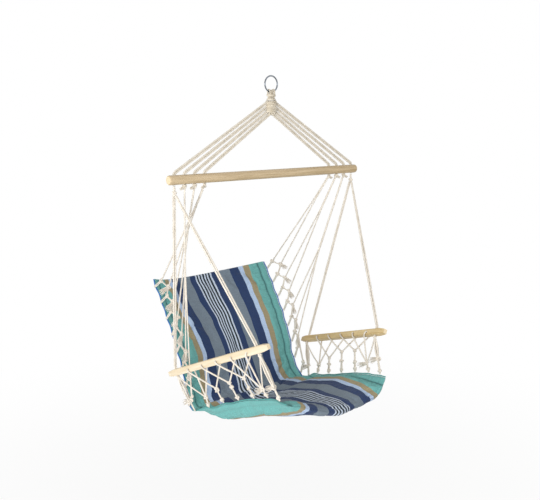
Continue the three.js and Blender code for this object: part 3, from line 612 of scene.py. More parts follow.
# %% Neck
CORD_DIAMETER = 5
SEAT_GAP = 0.3
LOOP_COUNT = 4
LOOP_SLACK = 0.14
NECK_BLOCK_WIDTH, NECK_BLOCK_DEPTH = 24, 17
KNUCKLE_DIAMETER, KNUCKLE_WEB = 17, 3
TOP_KNOT_HEIGHT = 11
SENNIT_WIDTH, SENNIT_DEPTH = 31, 15
SENNIT_KNOTS, SENNIT_KNOT_HEIGHT = 3, 15
SENNIT_CORD = 6
RING_BOTTOM_Z = RING_CENTRE_Z - RING_RADIUS
LOOP_RADIUS = RING_WIRE_DIAMETER / 2 + SEAT_GAP + CORD_DIAMETER / 2
NECK_BLOCK_TOP = RING_BOTTOM_Z - RING_WIRE_DIAMETER / 2 - 2 * SEAT_GAP
KNUCKLE_Z = NECK_BLOCK_TOP - KNUCKLE_WEB - SEAT_GAP - KNUCKLE_DIAMETER / 2
SENNIT_TOP = KNUCKLE_Z - TOP_KNOT_HEIGHT - SEAT_GAP
SENNIT_BOTTOM = SENNIT_TOP - SENNIT_KNOTS * SENNIT_KNOT_HEIGHT
COIL_CORD, COIL_TURNS = 5.6, 2
LOOP_COIL_SIZE = (NECK_BLOCK_WIDTH + 11, NECK_BLOCK_DEPTH + 7)
LOOP_COIL_SPAN = (NECK_BLOCK_TOP - 2, NECK_BLOCK_TOP - 12)
FIRST_KNOT_SPREAD, FIRST_KNOT_LEAN, FIRST_KNOT_SWELL = 6, 0.5, 1
FIRST_COIL_SIZE = (SENNIT_WIDTH + 3, SENNIT_DEPTH + 7)
FIRST_COIL_SPAN = (KNUCKLE_Z - KNUCKLE_DIAMETER / 4, SENNIT_TOP - 1)
# The second cord of a half knot lies further in, flatter and lower, by shares of the first
SECOND_IN, SECOND_FLAT, SECOND_DOWN = 0.35, 0.12, 0.9
CORE_XS, CORE_YS = (-9.5, -3.2, 3.2, 9.5), (-3.2, 3.2)


def add_coil(skin, size, span):
    """Cord wrapped round and round, flat like the neck."""
    angle = np.linspace(0, 2 * pi * COIL_TURNS, COIL_TURNS * 40 + 1)
    half_width, half_depth = ((side - COIL_CORD) / 2 for side in size)
    z = np.linspace(span[0] - COIL_CORD / 2, span[1] + COIL_CORD / 2, len(angle))
    route = np.stack([half_width * np.cos(angle), half_depth * np.sin(angle), z], -1)
    skin.tube(rope_rings(route, COIL_CORD))


def make_neck_loops():
    skin = Skin()
    pitch = (NECK_BLOCK_WIDTH - CORD_DIAMETER) / (LOOP_COUNT - 1)
    foot = NECK_BLOCK_TOP - KNUCKLE_DIAMETER / 3
    for i in range(LOOP_COUNT):
        x = (i - (LOOP_COUNT - 1) / 2) * pitch
        middle = RING_BOTTOM_Z + RING_RADIUS - sqrt(RING_RADIUS**2 - x**2)
        radius = LOOP_RADIUS + abs(x) * LOOP_SLACK  # room to swing on the curve of the ring
        arc = [(x, -radius * cos(a), middle + radius * sin(a)) for a in np.linspace(0, pi, 7)]
        add_rope(skin, [(x, -radius, foot), *arc, (x, radius, foot)], CORD_DIAMETER)
    add_coil(skin, LOOP_COIL_SIZE, LOOP_COIL_SPAN)
    return skin.make("neck_loop_cords", SENNIT, "neck_loop", ["neck_loops"])


def make_first_knot():
    skin = Skin()
    for side in (-1, 1):
        turn = Matrix.Rotation(pi / 2, 3, "X") @ Matrix.Rotation(side * FIRST_KNOT_LEAN, 3, "Z")
        centre = (side * FIRST_KNOT_SPREAD, 0, KNUCKLE_Z - FIRST_KNOT_SWELL)
        add_knot(skin, centre, KNUCKLE_DIAMETER + FIRST_KNOT_SWELL, COIL_CORD, turn)
    add_coil(skin, FIRST_COIL_SIZE, FIRST_COIL_SPAN)
    return skin.make("first_knot_cords", SENNIT, "first_knot", ["top_knot"])


def make_sennit():
    """Square knots: two doubled working cords that zigzag over a straight core."""
    skin = Skin()
    cord = SENNIT_CORD
    reach, depth = (SENNIT_WIDTH + cord) / 2, (SENNIT_DEPTH + cord) / 2
    half_knots = 2 * SENNIT_KNOTS
    share = np.linspace(0, half_knots, half_knots * 30 + 1)
    fall = (SENNIT_TOP - SENNIT_BOTTOM - 2 * cord) / half_knots
    for face in (-1, 1):
        for lag in (0, 1):
            wide = reach - lag * cord * SECOND_IN
            route = np.stack([
                -face * wide * np.cos(pi * share),
                face * depth * np.abs(np.sin(pi * share)) * (1 - SECOND_FLAT * lag),
                SENNIT_TOP - cord / 2 - lag * cord * SECOND_DOWN - share * fall,
            ], -1)
            skin.tube(rope_rings(smooth_path(route[::5], 1.6), cord))
    for x in CORE_XS:
        for y in CORE_YS:
            add_rope(skin, [(x, y, SENNIT_TOP - 1), (x, y, SENNIT_BOTTOM - 4)], cord)
    return skin.make("sennit_cords", SENNIT, "yoke", ["knotted_neck"])


make_neck_loops()
make_first_knot()
make_sennit()

# %% [markdown]
# ## Bar and fan
#
# The bar and the armrests are rigid, so the CAD solids stay as they are and only get a finish:
# shading that is smooth round the dowel and crisp at its ends, straight grain along the wood
# and paler end grain. The cords of the fan are laid new, as pairs of twisted rope on the same
# routes as in CAD, from the sennit through the holes to the knots that carry the bar.

# %% Bar and armrest finish
def finish_wood(name, material, along):
    node = nodes[name]
    node.data.materials.clear()
    node.data.materials.append(material)
    node.data.materials.append(END_GRAIN)
    long_way = Vector(along).normalized()
    for face in node.data.polygons:
        face.material_index = int(abs(face.normal.dot(long_way)) > 0.9)
    node.data.shade_smooth()
    node.data.set_sharp_from_angle(angle=radians(32))


# %% Bar, holes and knots under them
BAR_DROP = 318.7
BAR_LENGTH = 800
BAR_DIAMETER = 30
BAR_HOLE_INSET = 21
BAR_HOLE_PITCH = 37
HOLES = 4  # on each side, counted from the middle outwards
OUTERMOST = HOLES - 1
TWIN_SPACING = 5.4
TWIN_DIAMETER = 5.9  # as the soft cords look, a little fuller than drawn tight in CAD
KNOT_DIAMETER = 18
KNOT_CORD = 5.4
KNOT_TAIL = 17
FAN_KNOT_DROP = 3
BAR_KNOT_HANG = 4.1
ARM_YOKE_DROP = 41
FAN_EXIT_SHARES = [1, 0.72, 0.42, 0.12]
FAN_SPREAD_SHARES = [0.45, 0.57, 0.69, 0.81]
BAR_KNOT_Z = -BAR_DROP - BAR_DIAMETER / 2 - BAR_KNOT_HANG

finish_wood("spreader_bar", planed_wood("bar_wood", "#c0ab89", "#a08a64", (1, 0, 0)),
            (1, 0, 0))


def bar_hole_x(k, way):
    return way * (BAR_LENGTH / 2 - BAR_HOLE_INSET - (OUTERMOST - k) * BAR_HOLE_PITCH)


def bar_knot(k, way):
    return np.array([bar_hole_x(k, way), 0, BAR_KNOT_Z])


def fan_route(k, way):
    out = way * SENNIT_WIDTH / 2 * FAN_SPREAD_SHARES[k]
    start = (out, 0, SENNIT_TOP - FAN_EXIT_SHARES[k] * (SENNIT_TOP - SENNIT_BOTTOM))
    x = bar_hole_x(k, way)
    bend = (x, 0, -BAR_DROP + BAR_DIAMETER / 2 + CORD_DIAMETER)
    lowest = BAR_KNOT_Z + (0 if k < OUTERMOST else CORD_DIAMETER / 2 + SEAT_GAP)
    before = towards(bend, start, 2 * CORD_DIAMETER)
    return [start, before, (x, 0, bend[2] - CORD_DIAMETER), (x, 0, lowest)]


def make_fan():
    for side, way in WAYS.items():
        for k in range(HOLES):
            skin = Skin()
            add_pair(skin, fan_route(k, way), TWIN_DIAMETER, TWIN_SPACING)
            if k < OUTERMOST:
                centre = bar_knot(k, way) - [0, 0, FAN_KNOT_DROP]
                add_knot(skin, centre, KNOT_DIAMETER - 1, KNOT_CORD, loose_turn(12))
                tail = unit([way, dice.uniform(-0.4, 0.1), -0.5]) * KNOT_TAIL
                add_tassel(skin, centre, centre + tail, KNOT_TAIL / 2)
            skin.make(f"fan_pair_{side}_{k + 1}", SHADED_FAN_CORD, "yoke",
                      [f"fan_cords_{side}_{k + 1}"])


make_fan()

# %% [markdown]
# ## Armrests and their cords
#
# Each armrest hangs from a knot under the outermost hole of the bar by two pairs of cord, which
# pass down through a hole near each end and are knotted below. The two sides are tied by hand
# and don't match: the near one hangs flatter, the far one has rolled outwards.

# %% Armrests
ARM_LENGTH, ARM_WIDTH, ARM_HEIGHT = 522, 19, 23
ARM_REAR = (310, 178, 122)  # outwards, backwards and above the crease
ARM_FRONT = (250, -304, 306)
ARM_FRONT_RAISED = {"right": 31, "left": -22}
ARM_ROLL = {"right": 3, "left": 32}
ARM_END_HOLES = {"rear": 40, "front": ARM_LENGTH - 50}
ARM_FIRST_NET_HOLE, ARM_NET_HOLE_PITCH, ARM_NET_HOLES = 120, 77.5, 5
ARM_KNOT_DROP = 7
UNDER_ARM_KNOT_DIAMETER = 13.8
CREASE_Y, CREASE_DROP = 115, 812
CREASE_Z = -BAR_DROP - CREASE_DROP


class Arm:
    """One armrest's own directions, and points given along, outwards and upwards on it."""

    def __init__(self, side):
        self.way = WAYS[side]
        x, y, z = ARM_REAR
        rear = np.array([self.way * x, y, CREASE_Z + z])
        x, y, z = ARM_FRONT
        front = np.array([self.way * x, y, CREASE_Z + z + ARM_FRONT_RAISED[side]])
        self.along = unit(front - rear)
        level = unit(np.array([0, 0, 1.0]) - self.along * self.along[2])
        out = np.array([self.way, 0, 0.0])
        out = unit(out - self.along * (out @ self.along))
        roll = radians(ARM_ROLL[side])
        self.up = unit(level * cos(roll) + out * sin(roll))
        left = unit(np.cross(self.up, self.along))
        self.out = left * np.sign(left[0]) * self.way
        self.middle = mix(rear, front, 0.5)

    def point(self, distance, outwards, upwards):
        from_middle = self.along * (distance - ARM_LENGTH / 2)
        return self.middle + from_middle + self.out * outwards + self.up * upwards

    def local(self, point):
        gap = np.asarray(point) - self.middle
        return gap @ self.along + ARM_LENGTH / 2, gap @ self.out, gap @ self.up

    def under(self, end):
        return self.point(ARM_END_HOLES[end], 0, -ARM_HEIGHT / 2 - ARM_KNOT_DROP)

    def net_hole(self, k):
        return ARM_FIRST_NET_HOLE + k * ARM_NET_HOLE_PITCH


# Both armrests are one wood. The near (right) one's paler tones are painted light, the far (left)
# one's darker tones painted shade.
ARM_TONES_NEAR_LIT_FAR_SHADED = {"right": ("#e0d3bb", "#d0be9c"), "left": ("#d3bc8c", "#b89c66")}
ARMS = {side: Arm(side) for side in WAYS}
for side, arm in ARMS.items():
    finish_wood(f"armrest_{side}",
                planed_wood(f"arm_wood_{side}", *ARM_TONES_NEAR_LIT_FAR_SHADED[side], arm.along),
                arm.along)


YOKE_SPACING = 4.59
ARM_PAIR_APART = {"rear": 2, "front": -2}  # where the two pairs of an armrest leave its knot
# How far the cords of a pair part on their way down, of their usual spacing
ARM_PAIR_PLACES = (0, 0.5, 0.93, 1)
ARM_PAIR_SCALES = {"rear": (1, 1.2, 1.02, 1), "front": (0.4, 1.5, 1.3, 1)}


def arm_yoke(way):
    return np.array([bar_hole_x(OUTERMOST, way), 0, -BAR_DROP - ARM_YOKE_DROP])


def make_arm_cords():
    for side, arm in ARMS.items():
        yoke, top = arm_yoke(arm.way), bar_knot(OUTERMOST, arm.way)
        skin = Skin()
        add_pair(skin, [top, mix(top, yoke, 0.5), yoke], CORD_DIAMETER, YOKE_SPACING,
                 scales=(0.5, 1, 1))
        add_knot(skin, yoke, KNOT_DIAMETER, KNOT_CORD, loose_turn(15))
        skin.make(f"arm_yoke_{side}", CORD, "sling", [f"arm_yoke_knot_{side}"])
        for end, distance in ARM_END_HOLES.items():
            skin = Skin()
            mouth = arm.point(distance, 0, ARM_HEIGHT / 2 + CORD_DIAMETER)
            start = towards(yoke, mouth, KNOT_DIAMETER * 0.4) + [0, ARM_PAIR_APART[end], 0]
            route = [start, towards(mouth, start, 2 * CORD_DIAMETER),
                     arm.point(distance, 0, ARM_HEIGHT / 2 - CORD_DIAMETER), arm.under(end)]
            add_pair(skin, route, TWIN_DIAMETER, TWIN_SPACING,
                     scales=np.interp(np.linspace(0, 1, 30), ARM_PAIR_PLACES, ARM_PAIR_SCALES[end]))
            add_knot(skin, arm.under(end), UNDER_ARM_KNOT_DIAMETER, KNOT_CORD, loose_turn())
            skin.make(f"arm_pair_{side}_{end}", CORD, f"{side}_arm",
                      [f"arm_cords_{side}_{end}"])


make_arm_cords()

# %% [markdown]
# ## Padded cloth
#
# The seat and the back could be thickened sheets, but a padded panel has a profile of its own:
# full in the middle, drawn down where the side seam is stitched, puffed again in the narrow
# flange outside it, and gathered a little between the stitches. Each panel is a fine closed
# grid built on the CAD cloth's middle surface and laid as in the photograph: the cloth sags
# between its edges, the seat's edges dip and its free hem has shifted. A short simulation then
# lets air press the free cloth outwards into small folds. Two coordinates woven into the grid,
# across and along in millimetres, carry the stripes.

# %% The cloth's middle surface
CLOTH_HALF_WIDTH = 257
BACK_DEPTH, BACK_HEIGHT = 265, 412
SEAT_DEPTH, SEAT_RISE = 485, 88
CAD_SECTION_POWER = 4
SCALLOP = 3
FLANGE_WIDTH = 28
LINE_SAMPLES = 400
SECTION_STEPS = (np.arange(32) + 0.5) / 32  # across half the cloth, to sum its bend
STILL = {-1: (0, 0), 1: (0, 0)}
BACK_LINE = [(1, 1), (0.87, 0.855), (0.69, 0.66), (0.5, 0.466), (0.335, 0.296), (0.205, 0.15),
             (0.09, 0.04), (0, 0), (-0.05, -0.01)]
SEAT_LINE = [(-0.03, 0.03), (0, 0), (0.06, -0.08), (0.15, -0.11), (0.26, -0.02), (0.45, 0.29),
             (0.65, 0.62), (0.85, 0.88), (1, 1)]


def eased(values, share):
    """A value between knots spread evenly from 0 to 1, turning smoothly."""
    values = np.asarray(values, float)
    place = np.clip(share, 0, 1) * (len(values) - 1)
    i = np.minimum(place.astype(int), len(values) - 2)
    between = place - i
    return values[i] + (values[i + 1] - values[i]) * between**2 * (3 - 2 * between)


def beside_line(way, x, facing, rise):
    """Outwards to one side by x, and away from the line by a rise."""
    return np.concatenate([(way * x)[..., None], facing * rise[..., None]], -1)


class Panel:
    """The back or the seat. Its line runs from the top edge or from the crease."""

    def __init__(self, name, shares, depth, height, way, loops, curls, powers, sag, tilt,
                 slide=(0, 0), crowd=STILL, pull=STILL, dip=None, hem_back=STILL, hem_up=STILL):
        self.name, self.way, self.loops = name, way, loops
        self.curls, self.powers, self.sag, self.tilt = curls, powers, sag, tilt
        self.slide, self.crowd, self.pull = slide, crowd, pull
        self.dip, self.hem_back, self.hem_up = dip or {-1: 0, 1: 0}, hem_back, hem_up
        points = [(CREASE_Y + way * along * depth, CREASE_Z + up * height) for along, up in shares]
        self.build_line(np.array(points, float))

    def build_line(self, points):
        """Centripetal Catmull-Rom, as in CAD, sampled by its length."""
        padded = np.vstack([2 * points[0] - points[1], points, 2 * points[-1] - points[-2]])
        place = np.linspace(0, len(points) - 1, LINE_SAMPLES + 1)
        i = np.minimum(place.astype(int), len(points) - 2)
        t = (place - i)[:, None]
        p0, p1, p2, p3 = (padded[i + k] for k in range(4))
        d0, d1, d2 = (np.sqrt(np.linalg.norm(b - a, axis=1))[:, None]
                      for a, b in ((p0, p1), (p1, p2), (p2, p3)))
        m1 = ((p1 - p0) / d0 - (p2 - p0) / (d0 + d1) + (p2 - p1) / d1) * d1
        m2 = ((p2 - p1) / d1 - (p3 - p1) / (d1 + d2) + (p3 - p2) / d2) * d1
        self.line = (p1 + m1 * t + (3 * (p2 - p1) - 2 * m1 - m2) * t**2
                     + (2 * (p1 - p2) + m1 + m2) * t**3)
        run = run_along(self.line)
        self.length = run[-1]
        self.run = run / run[-1]

    def on_line(self, share):
        return np.stack([np.interp(share, self.run, self.line[:, k]) for k in range(2)], -1)

    def at(self, share):
        """A point of the line, and the direction in which the cloth faces there."""
        ahead, behind = (self.on_line(np.clip(share + nudge, 0, 1))
                         for nudge in (1 / LINE_SAMPLES, -1 / LINE_SAMPLES))
        tangent = unit(ahead - behind)
        return self.on_line(share), np.stack([tangent[..., 1], -tangent[..., 0]], -1)

    def cad_edge(self, share, way):
        """Edge point and outward direction of the CAD cloth, on which the nets pull."""
        share = np.asarray(share, float)
        drawn = SCALLOP / 2 * (1 + np.cos(2 * pi * self.loops * share))
        half_width = CLOTH_HALF_WIDTH - (drawn + eased(self.pull[way], share))
        curl = np.radians(eased(self.curls[way], share))
        bend = curl[..., None] * SECTION_STEPS**CAD_SECTION_POWER
        x, rise = np.cos(bend).mean(-1) * half_width, np.sin(bend).mean(-1) * half_width
        point, facing = self.at(share)
        edge = beside_line(way, x, facing, rise)
        edge[..., 1:] += point
        return edge, beside_line(way, np.cos(curl), facing, np.sin(curl)), x, rise

    def edge_dip(self, share, way):
        return self.dip[way] * np.sin(pi * share)

    def hem_shift(self, share, u, way):
        """How far the free hem has slid back and up, less and less towards the crease."""
        near = np.clip((np.asarray(share) - 1) / HEM_REACH + 1, 0, 1)
        weight = near**2 * (3 - 2 * near)
        return np.stack([weight * eased(self.hem_back[way], u),
                         weight * eased(self.hem_up[way], u)], -1)

    def edge(self, share, way):
        """Edge point and outward direction of the cloth as it lies."""
        share = np.asarray(share, float)
        edge, outward, _, _ = self.cad_edge(share, way)
        _, facing = self.at(share)
        edge[..., 1:] -= facing * self.edge_dip(share, way)[..., None]
        edge[..., 1:] += self.hem_shift(share, np.ones_like(share), way)
        return edge, outward

    def woven(self, share, u):
        """The cloth's own coordinate across, where hand-laid stripes wander a little."""
        half = np.abs(u)
        crowd = np.where(u < 0, eased(self.crowd[-1], share), eased(self.crowd[1], share))
        slid = eased(self.slide, share) * (1 - half)
        return u * STRIPE_HALF_WIDTH + slid + crowd * 4 * half * (1 - half)

    def place(self, share, u, way):
        """Points on the sagging cloth between its middle and one edge.

        The section leaves the middle at the panel's tilt, turns up towards the edge and ends
        on the edge that the net holds. The hem's shift is the same for both."""
        share, u = np.asarray(share, float), np.asarray(u, float)
        _, _, edge_x, edge_rise = self.cad_edge(share, way)
        sag = eased(self.sag, share)
        rise = edge_rise - self.edge_dip(share, way) + sag
        power = eased(self.powers[way], share)
        tilt = way * np.radians(eased(self.tilt, share))
        tried = np.radians(np.linspace(-60, 170, 231))
        x, up = np.empty((len(share), len(u))), np.empty((len(share), len(u)))
        for row in range(len(share)):
            bend = tried[:, None] * SECTION_STEPS**power[row]
            across, upwards = np.cos(bend).mean(-1), np.sin(bend).mean(-1)
            wanted = np.arctan2(rise[row], edge_x[row]) - tilt[row]
            curl = np.interp(wanted, np.unwrap(np.arctan2(upwards, across)), tried)
            reach = np.interp(curl, tried, np.hypot(across, upwards))
            wide = np.hypot(rise[row], edge_x[row]) / reach
            angle = tilt[row] + curl * (u[:, None] * SECTION_STEPS) ** power[row]
            x[row] = np.cos(angle).mean(-1) * u * wide
            up[row] = np.sin(angle).mean(-1) * u * wide - sag[row]
        point, facing = self.at(share)
        laid = beside_line(way, x, facing[:, None], up)
        laid[..., 1:] += point[:, None] + self.hem_shift(share[:, None], u[None, :], way)
        return laid


HEM_REACH = 0.3  # share of the seat over which its hem has shifted
BACK = Panel("back", BACK_LINE, BACK_DEPTH, BACK_HEIGHT, 1, 8,
             curls={-1: [16, 26, 30, 26, 16, -6], 1: [16, 26, 30, 26, 16, -6]},
             powers={-1: [2, 2, 2.4, 3, 4, 4], 1: [1, 0.8, 0.8, 1, 2, 4]},
             sag=[27, 17, 7, 2, 0, 0], tilt=[6, 6, 3, 0, 0, 0], slide=[24, 20, 10, 8, 4, 0],
             crowd={-1: [0, -6, -18, -18, 6, 24], 1: [0, 0, 0, 0, 0, 0]},
             pull={-1: (0, 0), 1: [0, 0, 0, 5, 18, 4]})
SEAT = Panel("seat", SEAT_LINE, SEAT_DEPTH, SEAT_RISE, -1, 7,
             curls={-1: [-6, 54, 88, 112, 112, 90], 1: [-6, 52, 56, 62, 64, 76]},
             powers={-1: [4, 4, 4, 3.4, 2.2, 1.1], 1: [4, 3, 2, 1.6, 2, 2.4]},
             sag=[0, -5, -16, -16, -3, 4], tilt=[0, 6, 6, 4, 1, -2],
             dip={-1: 15, 1: 5},
             hem_back={-1: [3, 11, 12, 10, 9], 1: [3, 15, 23, 25, 28]},
             hem_up={-1: [0, 7, 16, 18, 4], 1: [0, -3, -9, -19, -16]})

# %% Padding, seams and gathers
GRID_STEP = 5.5
PAD = {"back": (11.6, 6, 9), "seat": (22, 9, 6)}  # thickness: full, at the start, at the end
FLANGE_THICKNESS = 5
SEAM_SHARE = 1 - FLANGE_WIDTH / CLOTH_HALF_WIDTH
SEAM_DIP = 0.62
SHOULDER = 42  # from the seam to where the padding is full
END_SHOULDER = 34
GATHER_PITCH = 19
CREASE_GAP = -6  # the pads are sewn together there, so they overlap a little
END_STEP, END_FADE = 2.04, 14  # at a panel's ends: how full it starts, how fast their swell fades
SEAM_WIDTH = 3.2
GATHER_DEPTH, GATHER_REACH = 2.1, 12
GATHER_DRIFT = (2.2, 37, 3)  # how far they wander from their pitch, over what length, by side
RIM_PLACES, RIM_SHARES = (0, 3, 8), (0.42, 0.85, 1)  # the rim's rounding, of the thickness
WRINKLE_REACH = 40
WRINKLE_SEEDS = {"back": 1.5, "seat": 6.5}
CLOTH_FRAMES = 20
CLOTH_QUALITY = 4
CLOTH_PRESSURE = 3
CLOTH_SLACK = 0.08  # how much longer the cloth is than the form that it starts on
CLOTH_CAP = 6
FREE_REACH = 24  # from the stitched lines, where the cloth is free


def pillow(distance, shoulder):
    near = np.clip(distance / shoulder, 0, 1)
    return np.sqrt(1 - (1 - near) ** 2)


def shown_span(panel):
    """Where along its line a panel starts and ends, less half the gap at the crease."""
    order = slice(None, None, -panel.way)
    y = (panel.line[:, 0] - CREASE_Y)[order] * panel.way
    meets = float(np.interp(CREASE_GAP / 2, y, panel.run[order]))
    return (0, meets) if panel is BACK else (meets, 1)


def wrinkles(u, v, seed):
    """Slow waves over the cloth and sharper folds on them, in millimetres."""
    waves = np.empty(u.shape)
    for i in np.ndindex(u.shape):
        slow = noise.noise(Vector((u[i] / 95, v[i] / 70, seed)))
        fold = abs(noise.noise(Vector((u[i] / 42, v[i] / 60, seed + 9))))
        waves[i] = 2.0 * slow - 2.2 * max(0.16 - fold, 0) * 4
    return waves


def puff_up(piece, free):
    """Cloth simulation: air presses the free cloth out from the sewn lines, and the slack
    in it falls into small folds. No point moves further than the cap times how free it is."""
    start = np.empty(len(piece.data.vertices) * 3)
    piece.data.vertices.foreach_get("co", start)
    held = piece.vertex_groups.new(name="held")
    for index, share in enumerate(free):
        held.add([index], 1 - min(float(share) * 2, 1), "REPLACE")
    cloth = piece.modifiers.new("cloth", "CLOTH")
    cloth.settings.quality = CLOTH_QUALITY
    cloth.settings.use_pressure = True
    cloth.settings.uniform_pressure_force = CLOTH_PRESSURE
    cloth.settings.shrink_min = -CLOTH_SLACK
    cloth.settings.vertex_group_mass = "held"
    cloth.settings.effector_weights.gravity = 0
    cloth.point_cache.frame_end = CLOTH_FRAMES
    for step in range(1, CLOTH_FRAMES + 1):
        bpy.context.scene.frame_set(step)
    posed = piece.evaluated_get(bpy.context.evaluated_depsgraph_get())
    end = np.empty_like(start)
    posed.data.vertices.foreach_get("co", end)
    bpy.context.scene.frame_set(1)
    piece.modifiers.remove(cloth)
    piece.vertex_groups.clear()
    move = (end - start).reshape(-1, 3)
    length = np.linalg.norm(move, axis=1, keepdims=True)
    cap = CLOTH_CAP * MM * np.asarray(free)[:, None]
    move *= np.minimum(1, cap / np.maximum(length, 1e-9))
    piece.data.vertices.foreach_set("co", start + move.ravel())
    piece.data.update()


def make_pad(panel, body):
    full, at_start, at_end = PAD[panel.name]
    first, last = shown_span(panel)
    rows = int(panel.length * (last - first) / GRID_STEP)
    columns = int(CLOTH_HALF_WIDTH / GRID_STEP)
    share = np.linspace(first, last, rows + 1)
    half = np.linspace(0, 1, columns + 1)
    grid = [panel.place(share, half, way) for way in (-1, 1)]
    middle = np.concatenate([grid[0][:, :0:-1], grid[1]], axis=1)
    u = np.concatenate([-half[:0:-1], half])
    u, s = np.meshgrid(u, share)
    along, across = np.gradient(middle, axis=0), np.gradient(middle, axis=1)
    normal = unit(np.cross(along, across))
    beside = (SEAM_SHARE - np.abs(u)) * CLOTH_HALF_WIDTH
    run = (s - first) * panel.length
    left = (last - s) * panel.length
    thick = full * pillow(beside, SHOULDER)
    for distance, at_edge in ((run, at_start), (left, at_end)):
        thick = thick * pillow(distance + END_STEP, END_SHOULDER)
        thick = thick + at_edge * np.exp(-distance / END_FADE)
    thick = np.minimum(thick, full)
    outside = np.clip(-beside / FLANGE_WIDTH, 0, 1)
    thick = np.maximum(thick, FLANGE_THICKNESS * (0.75 + 0.35 * np.sin(pi * outside)))
    seam = np.exp(-((beside / SEAM_WIDTH) ** 2))
    thick = thick * (1 - SEAM_DIP * seam)
    drift, over, by_side = GATHER_DRIFT
    drifted = drift * np.sin(run / over + by_side * np.sign(u))
    gathers = GATHER_DEPTH * np.sin(2 * pi * run / GATHER_PITCH + drifted)
    thick = thick + gathers * np.exp(-np.abs(beside) / GATHER_REACH) * (1 - 0.5 * seam)
    rim = np.minimum.reduce([np.abs(np.abs(u) - 1) * CLOTH_HALF_WIDTH, run, left])
    thick = thick * np.interp(rim, RIM_PLACES, RIM_SHARES)
    shift = wrinkles(u * CLOTH_HALF_WIDTH, run, WRINKLE_SEEDS[panel.name])
    shift = shift * np.clip(rim / WRINKLE_REACH, 0, 1)
    top = middle + normal * (thick / 2 + shift)[..., None]
    bottom = middle + normal * (shift - thick / 2)[..., None]
    loose = np.clip(np.minimum(beside, rim) / FREE_REACH, 0, 1)
    pad_mesh(panel, body, top, bottom, u, s, loose)


def pad_mesh(panel, body, top, bottom, u, share, loose):
    rows, columns = u.shape
    t = np.arange(rows * columns).reshape(rows, columns)
    b = t + rows * columns
    quads = [
        np.stack([t[:-1, :-1], t[1:, :-1], t[1:, 1:], t[:-1, 1:]], -1).reshape(-1, 4),
        np.stack([b[:-1, :-1], b[:-1, 1:], b[1:, 1:], b[1:, :-1]], -1).reshape(-1, 4),
        np.stack([t[0, :-1], t[0, 1:], b[0, 1:], b[0, :-1]], -1),
        np.stack([t[-1, 1:], t[-1, :-1], b[-1, :-1], b[-1, 1:]], -1),
        np.stack([t[:-1, 0], b[:-1, 0], b[1:, 0], t[1:, 0]], -1),
        np.stack([t[:-1, -1], t[1:, -1], b[1:, -1], b[:-1, -1]], -1),
    ]
    mesh = bpy.data.meshes.new(f"{panel.name}_pad_cloth")
    points = np.concatenate([top.reshape(-1, 3), bottom.reshape(-1, 3)]) * MM
    mesh.from_pydata(points.tolist(), [], np.concatenate(quads).tolist())
    woven = np.stack([panel.woven(share, u), share * panel.length], -1).reshape(-1, 2)
    layer = mesh.uv_layers.new(name="cloth")
    corners = np.empty(len(mesh.loops), int)
    mesh.loops.foreach_get("vertex_index", corners)
    woven = np.concatenate([woven, woven * [1, -1]])  # the underside has negative lengths
    layer.data.foreach_set("uv", woven[corners].astype(np.float32).ravel())
    piece = as_object(mesh, CANVAS)
    puff_up(piece, np.concatenate([loose.ravel()] * 2))
    finer = piece.modifiers.new("finer", "SUBSURF")
    finer.levels = finer.render_levels = 1
    bpy.context.view_layer.objects.active = piece
    bpy.ops.object.modifier_apply(modifier="finer")
    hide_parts(f"{panel.name}_pad")
    if panel is BACK:
        bend_at_crease(piece)
    else:
        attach(piece, body)


def bend_at_crease(piece):
    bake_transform(piece)


make_pad(BACK, "back")
make_pad(SEAT, "sling")

# %% Piping along the edges
PIPING_DIAMETER = 4.4
PIPING_GAP = 0.6
PIPING_ENDS = (0.004, 0.996)


def make_piping():
    for panel in (BACK, SEAT):
        share = np.linspace(*np.clip(shown_span(panel), *PIPING_ENDS), 150)
        for side, way in WAYS.items():
            edge, outward = panel.edge(share, way)
            path = edge + outward * (PIPING_DIAMETER / 2 + PIPING_GAP)
            ring = circles(full_turn(10), *path_frames(path)) * PIPING_DIAMETER / 2
            skin = Skin()
            skin.tube(path[:, None] + ring)
            name = f"{panel.name}_piping_{side}"
            piece = skin.make(f"{name}_binding", BINDINGS[panel.name],
                              "sling" if panel is SEAT else None, [name])
            if panel is BACK:
                bend_at_crease(piece)


make_piping()

# %% [markdown]
# ## Knotted nets
#
# A net could be drawn as straight lines between points, and far off it looks like that. Close
# up it is pairs of cord that leave the piping as a loop, meet in a knot, part again and end in
# frayed tassels. The knots' places are worked out from the edges of the cloth, the holes of
# the bar and the holes of the armrests, as in CAD.

# %% Net pieces
NET_CORD = 5.8
NET_PAIR_CORD = 4.5
NET_PAIR_SPACING = 4.1
NET_KNOT = 20.5
NET_KNOT_CORD = 6.2
BUNDLE_KNOT = 25
ARM_KNOT, LOOP_KNOT, FORK_KNOT = NET_KNOT * 0.88, NET_KNOT * 0.8, NET_KNOT * 0.75
BAR_LINE_CORD, ARM_LINE_CORD = NET_CORD * 0.9, NET_CORD * 0.88
NET_BOW = 0.04  # of the back nets' pairs, of their length
TASSEL_LENGTH = 36
TASSEL_DIAMETER = 21
LOOP_REACH = PIPING_DIAMETER + NET_CORD / 2 + PIPING_GAP + SEAT_GAP
PAIR_SIDE = (0.1, 0.95, 0.2)


def edge_loop(panel, k, way, reach=LOOP_REACH):
    edge, outward = panel.edge((k + 0.5) / panel.loops, way)
    return edge + outward * reach


def add_net_pair(skin, points, hint=PAIR_SIDE, scales=(1, 1), cord=NET_PAIR_CORD):
    add_pair(skin, points, cord, NET_PAIR_SPACING, hint, scales)


def add_net_loop(skin, knot, panel, k, way):
    """A pair from a knot that opens into a loop round the piping."""
    tip = edge_loop(panel, k, way, PIPING_DIAMETER + PIPING_GAP + NET_PAIR_CORD / 2)
    add_net_pair(skin, [knot, tip], scales=(0.9, 1.5, 1.2))


def add_lumpy_knot(skin, centre, diameter=NET_KNOT):
    add_knot(skin, centre, diameter, NET_KNOT_CORD, loose_turn(60))


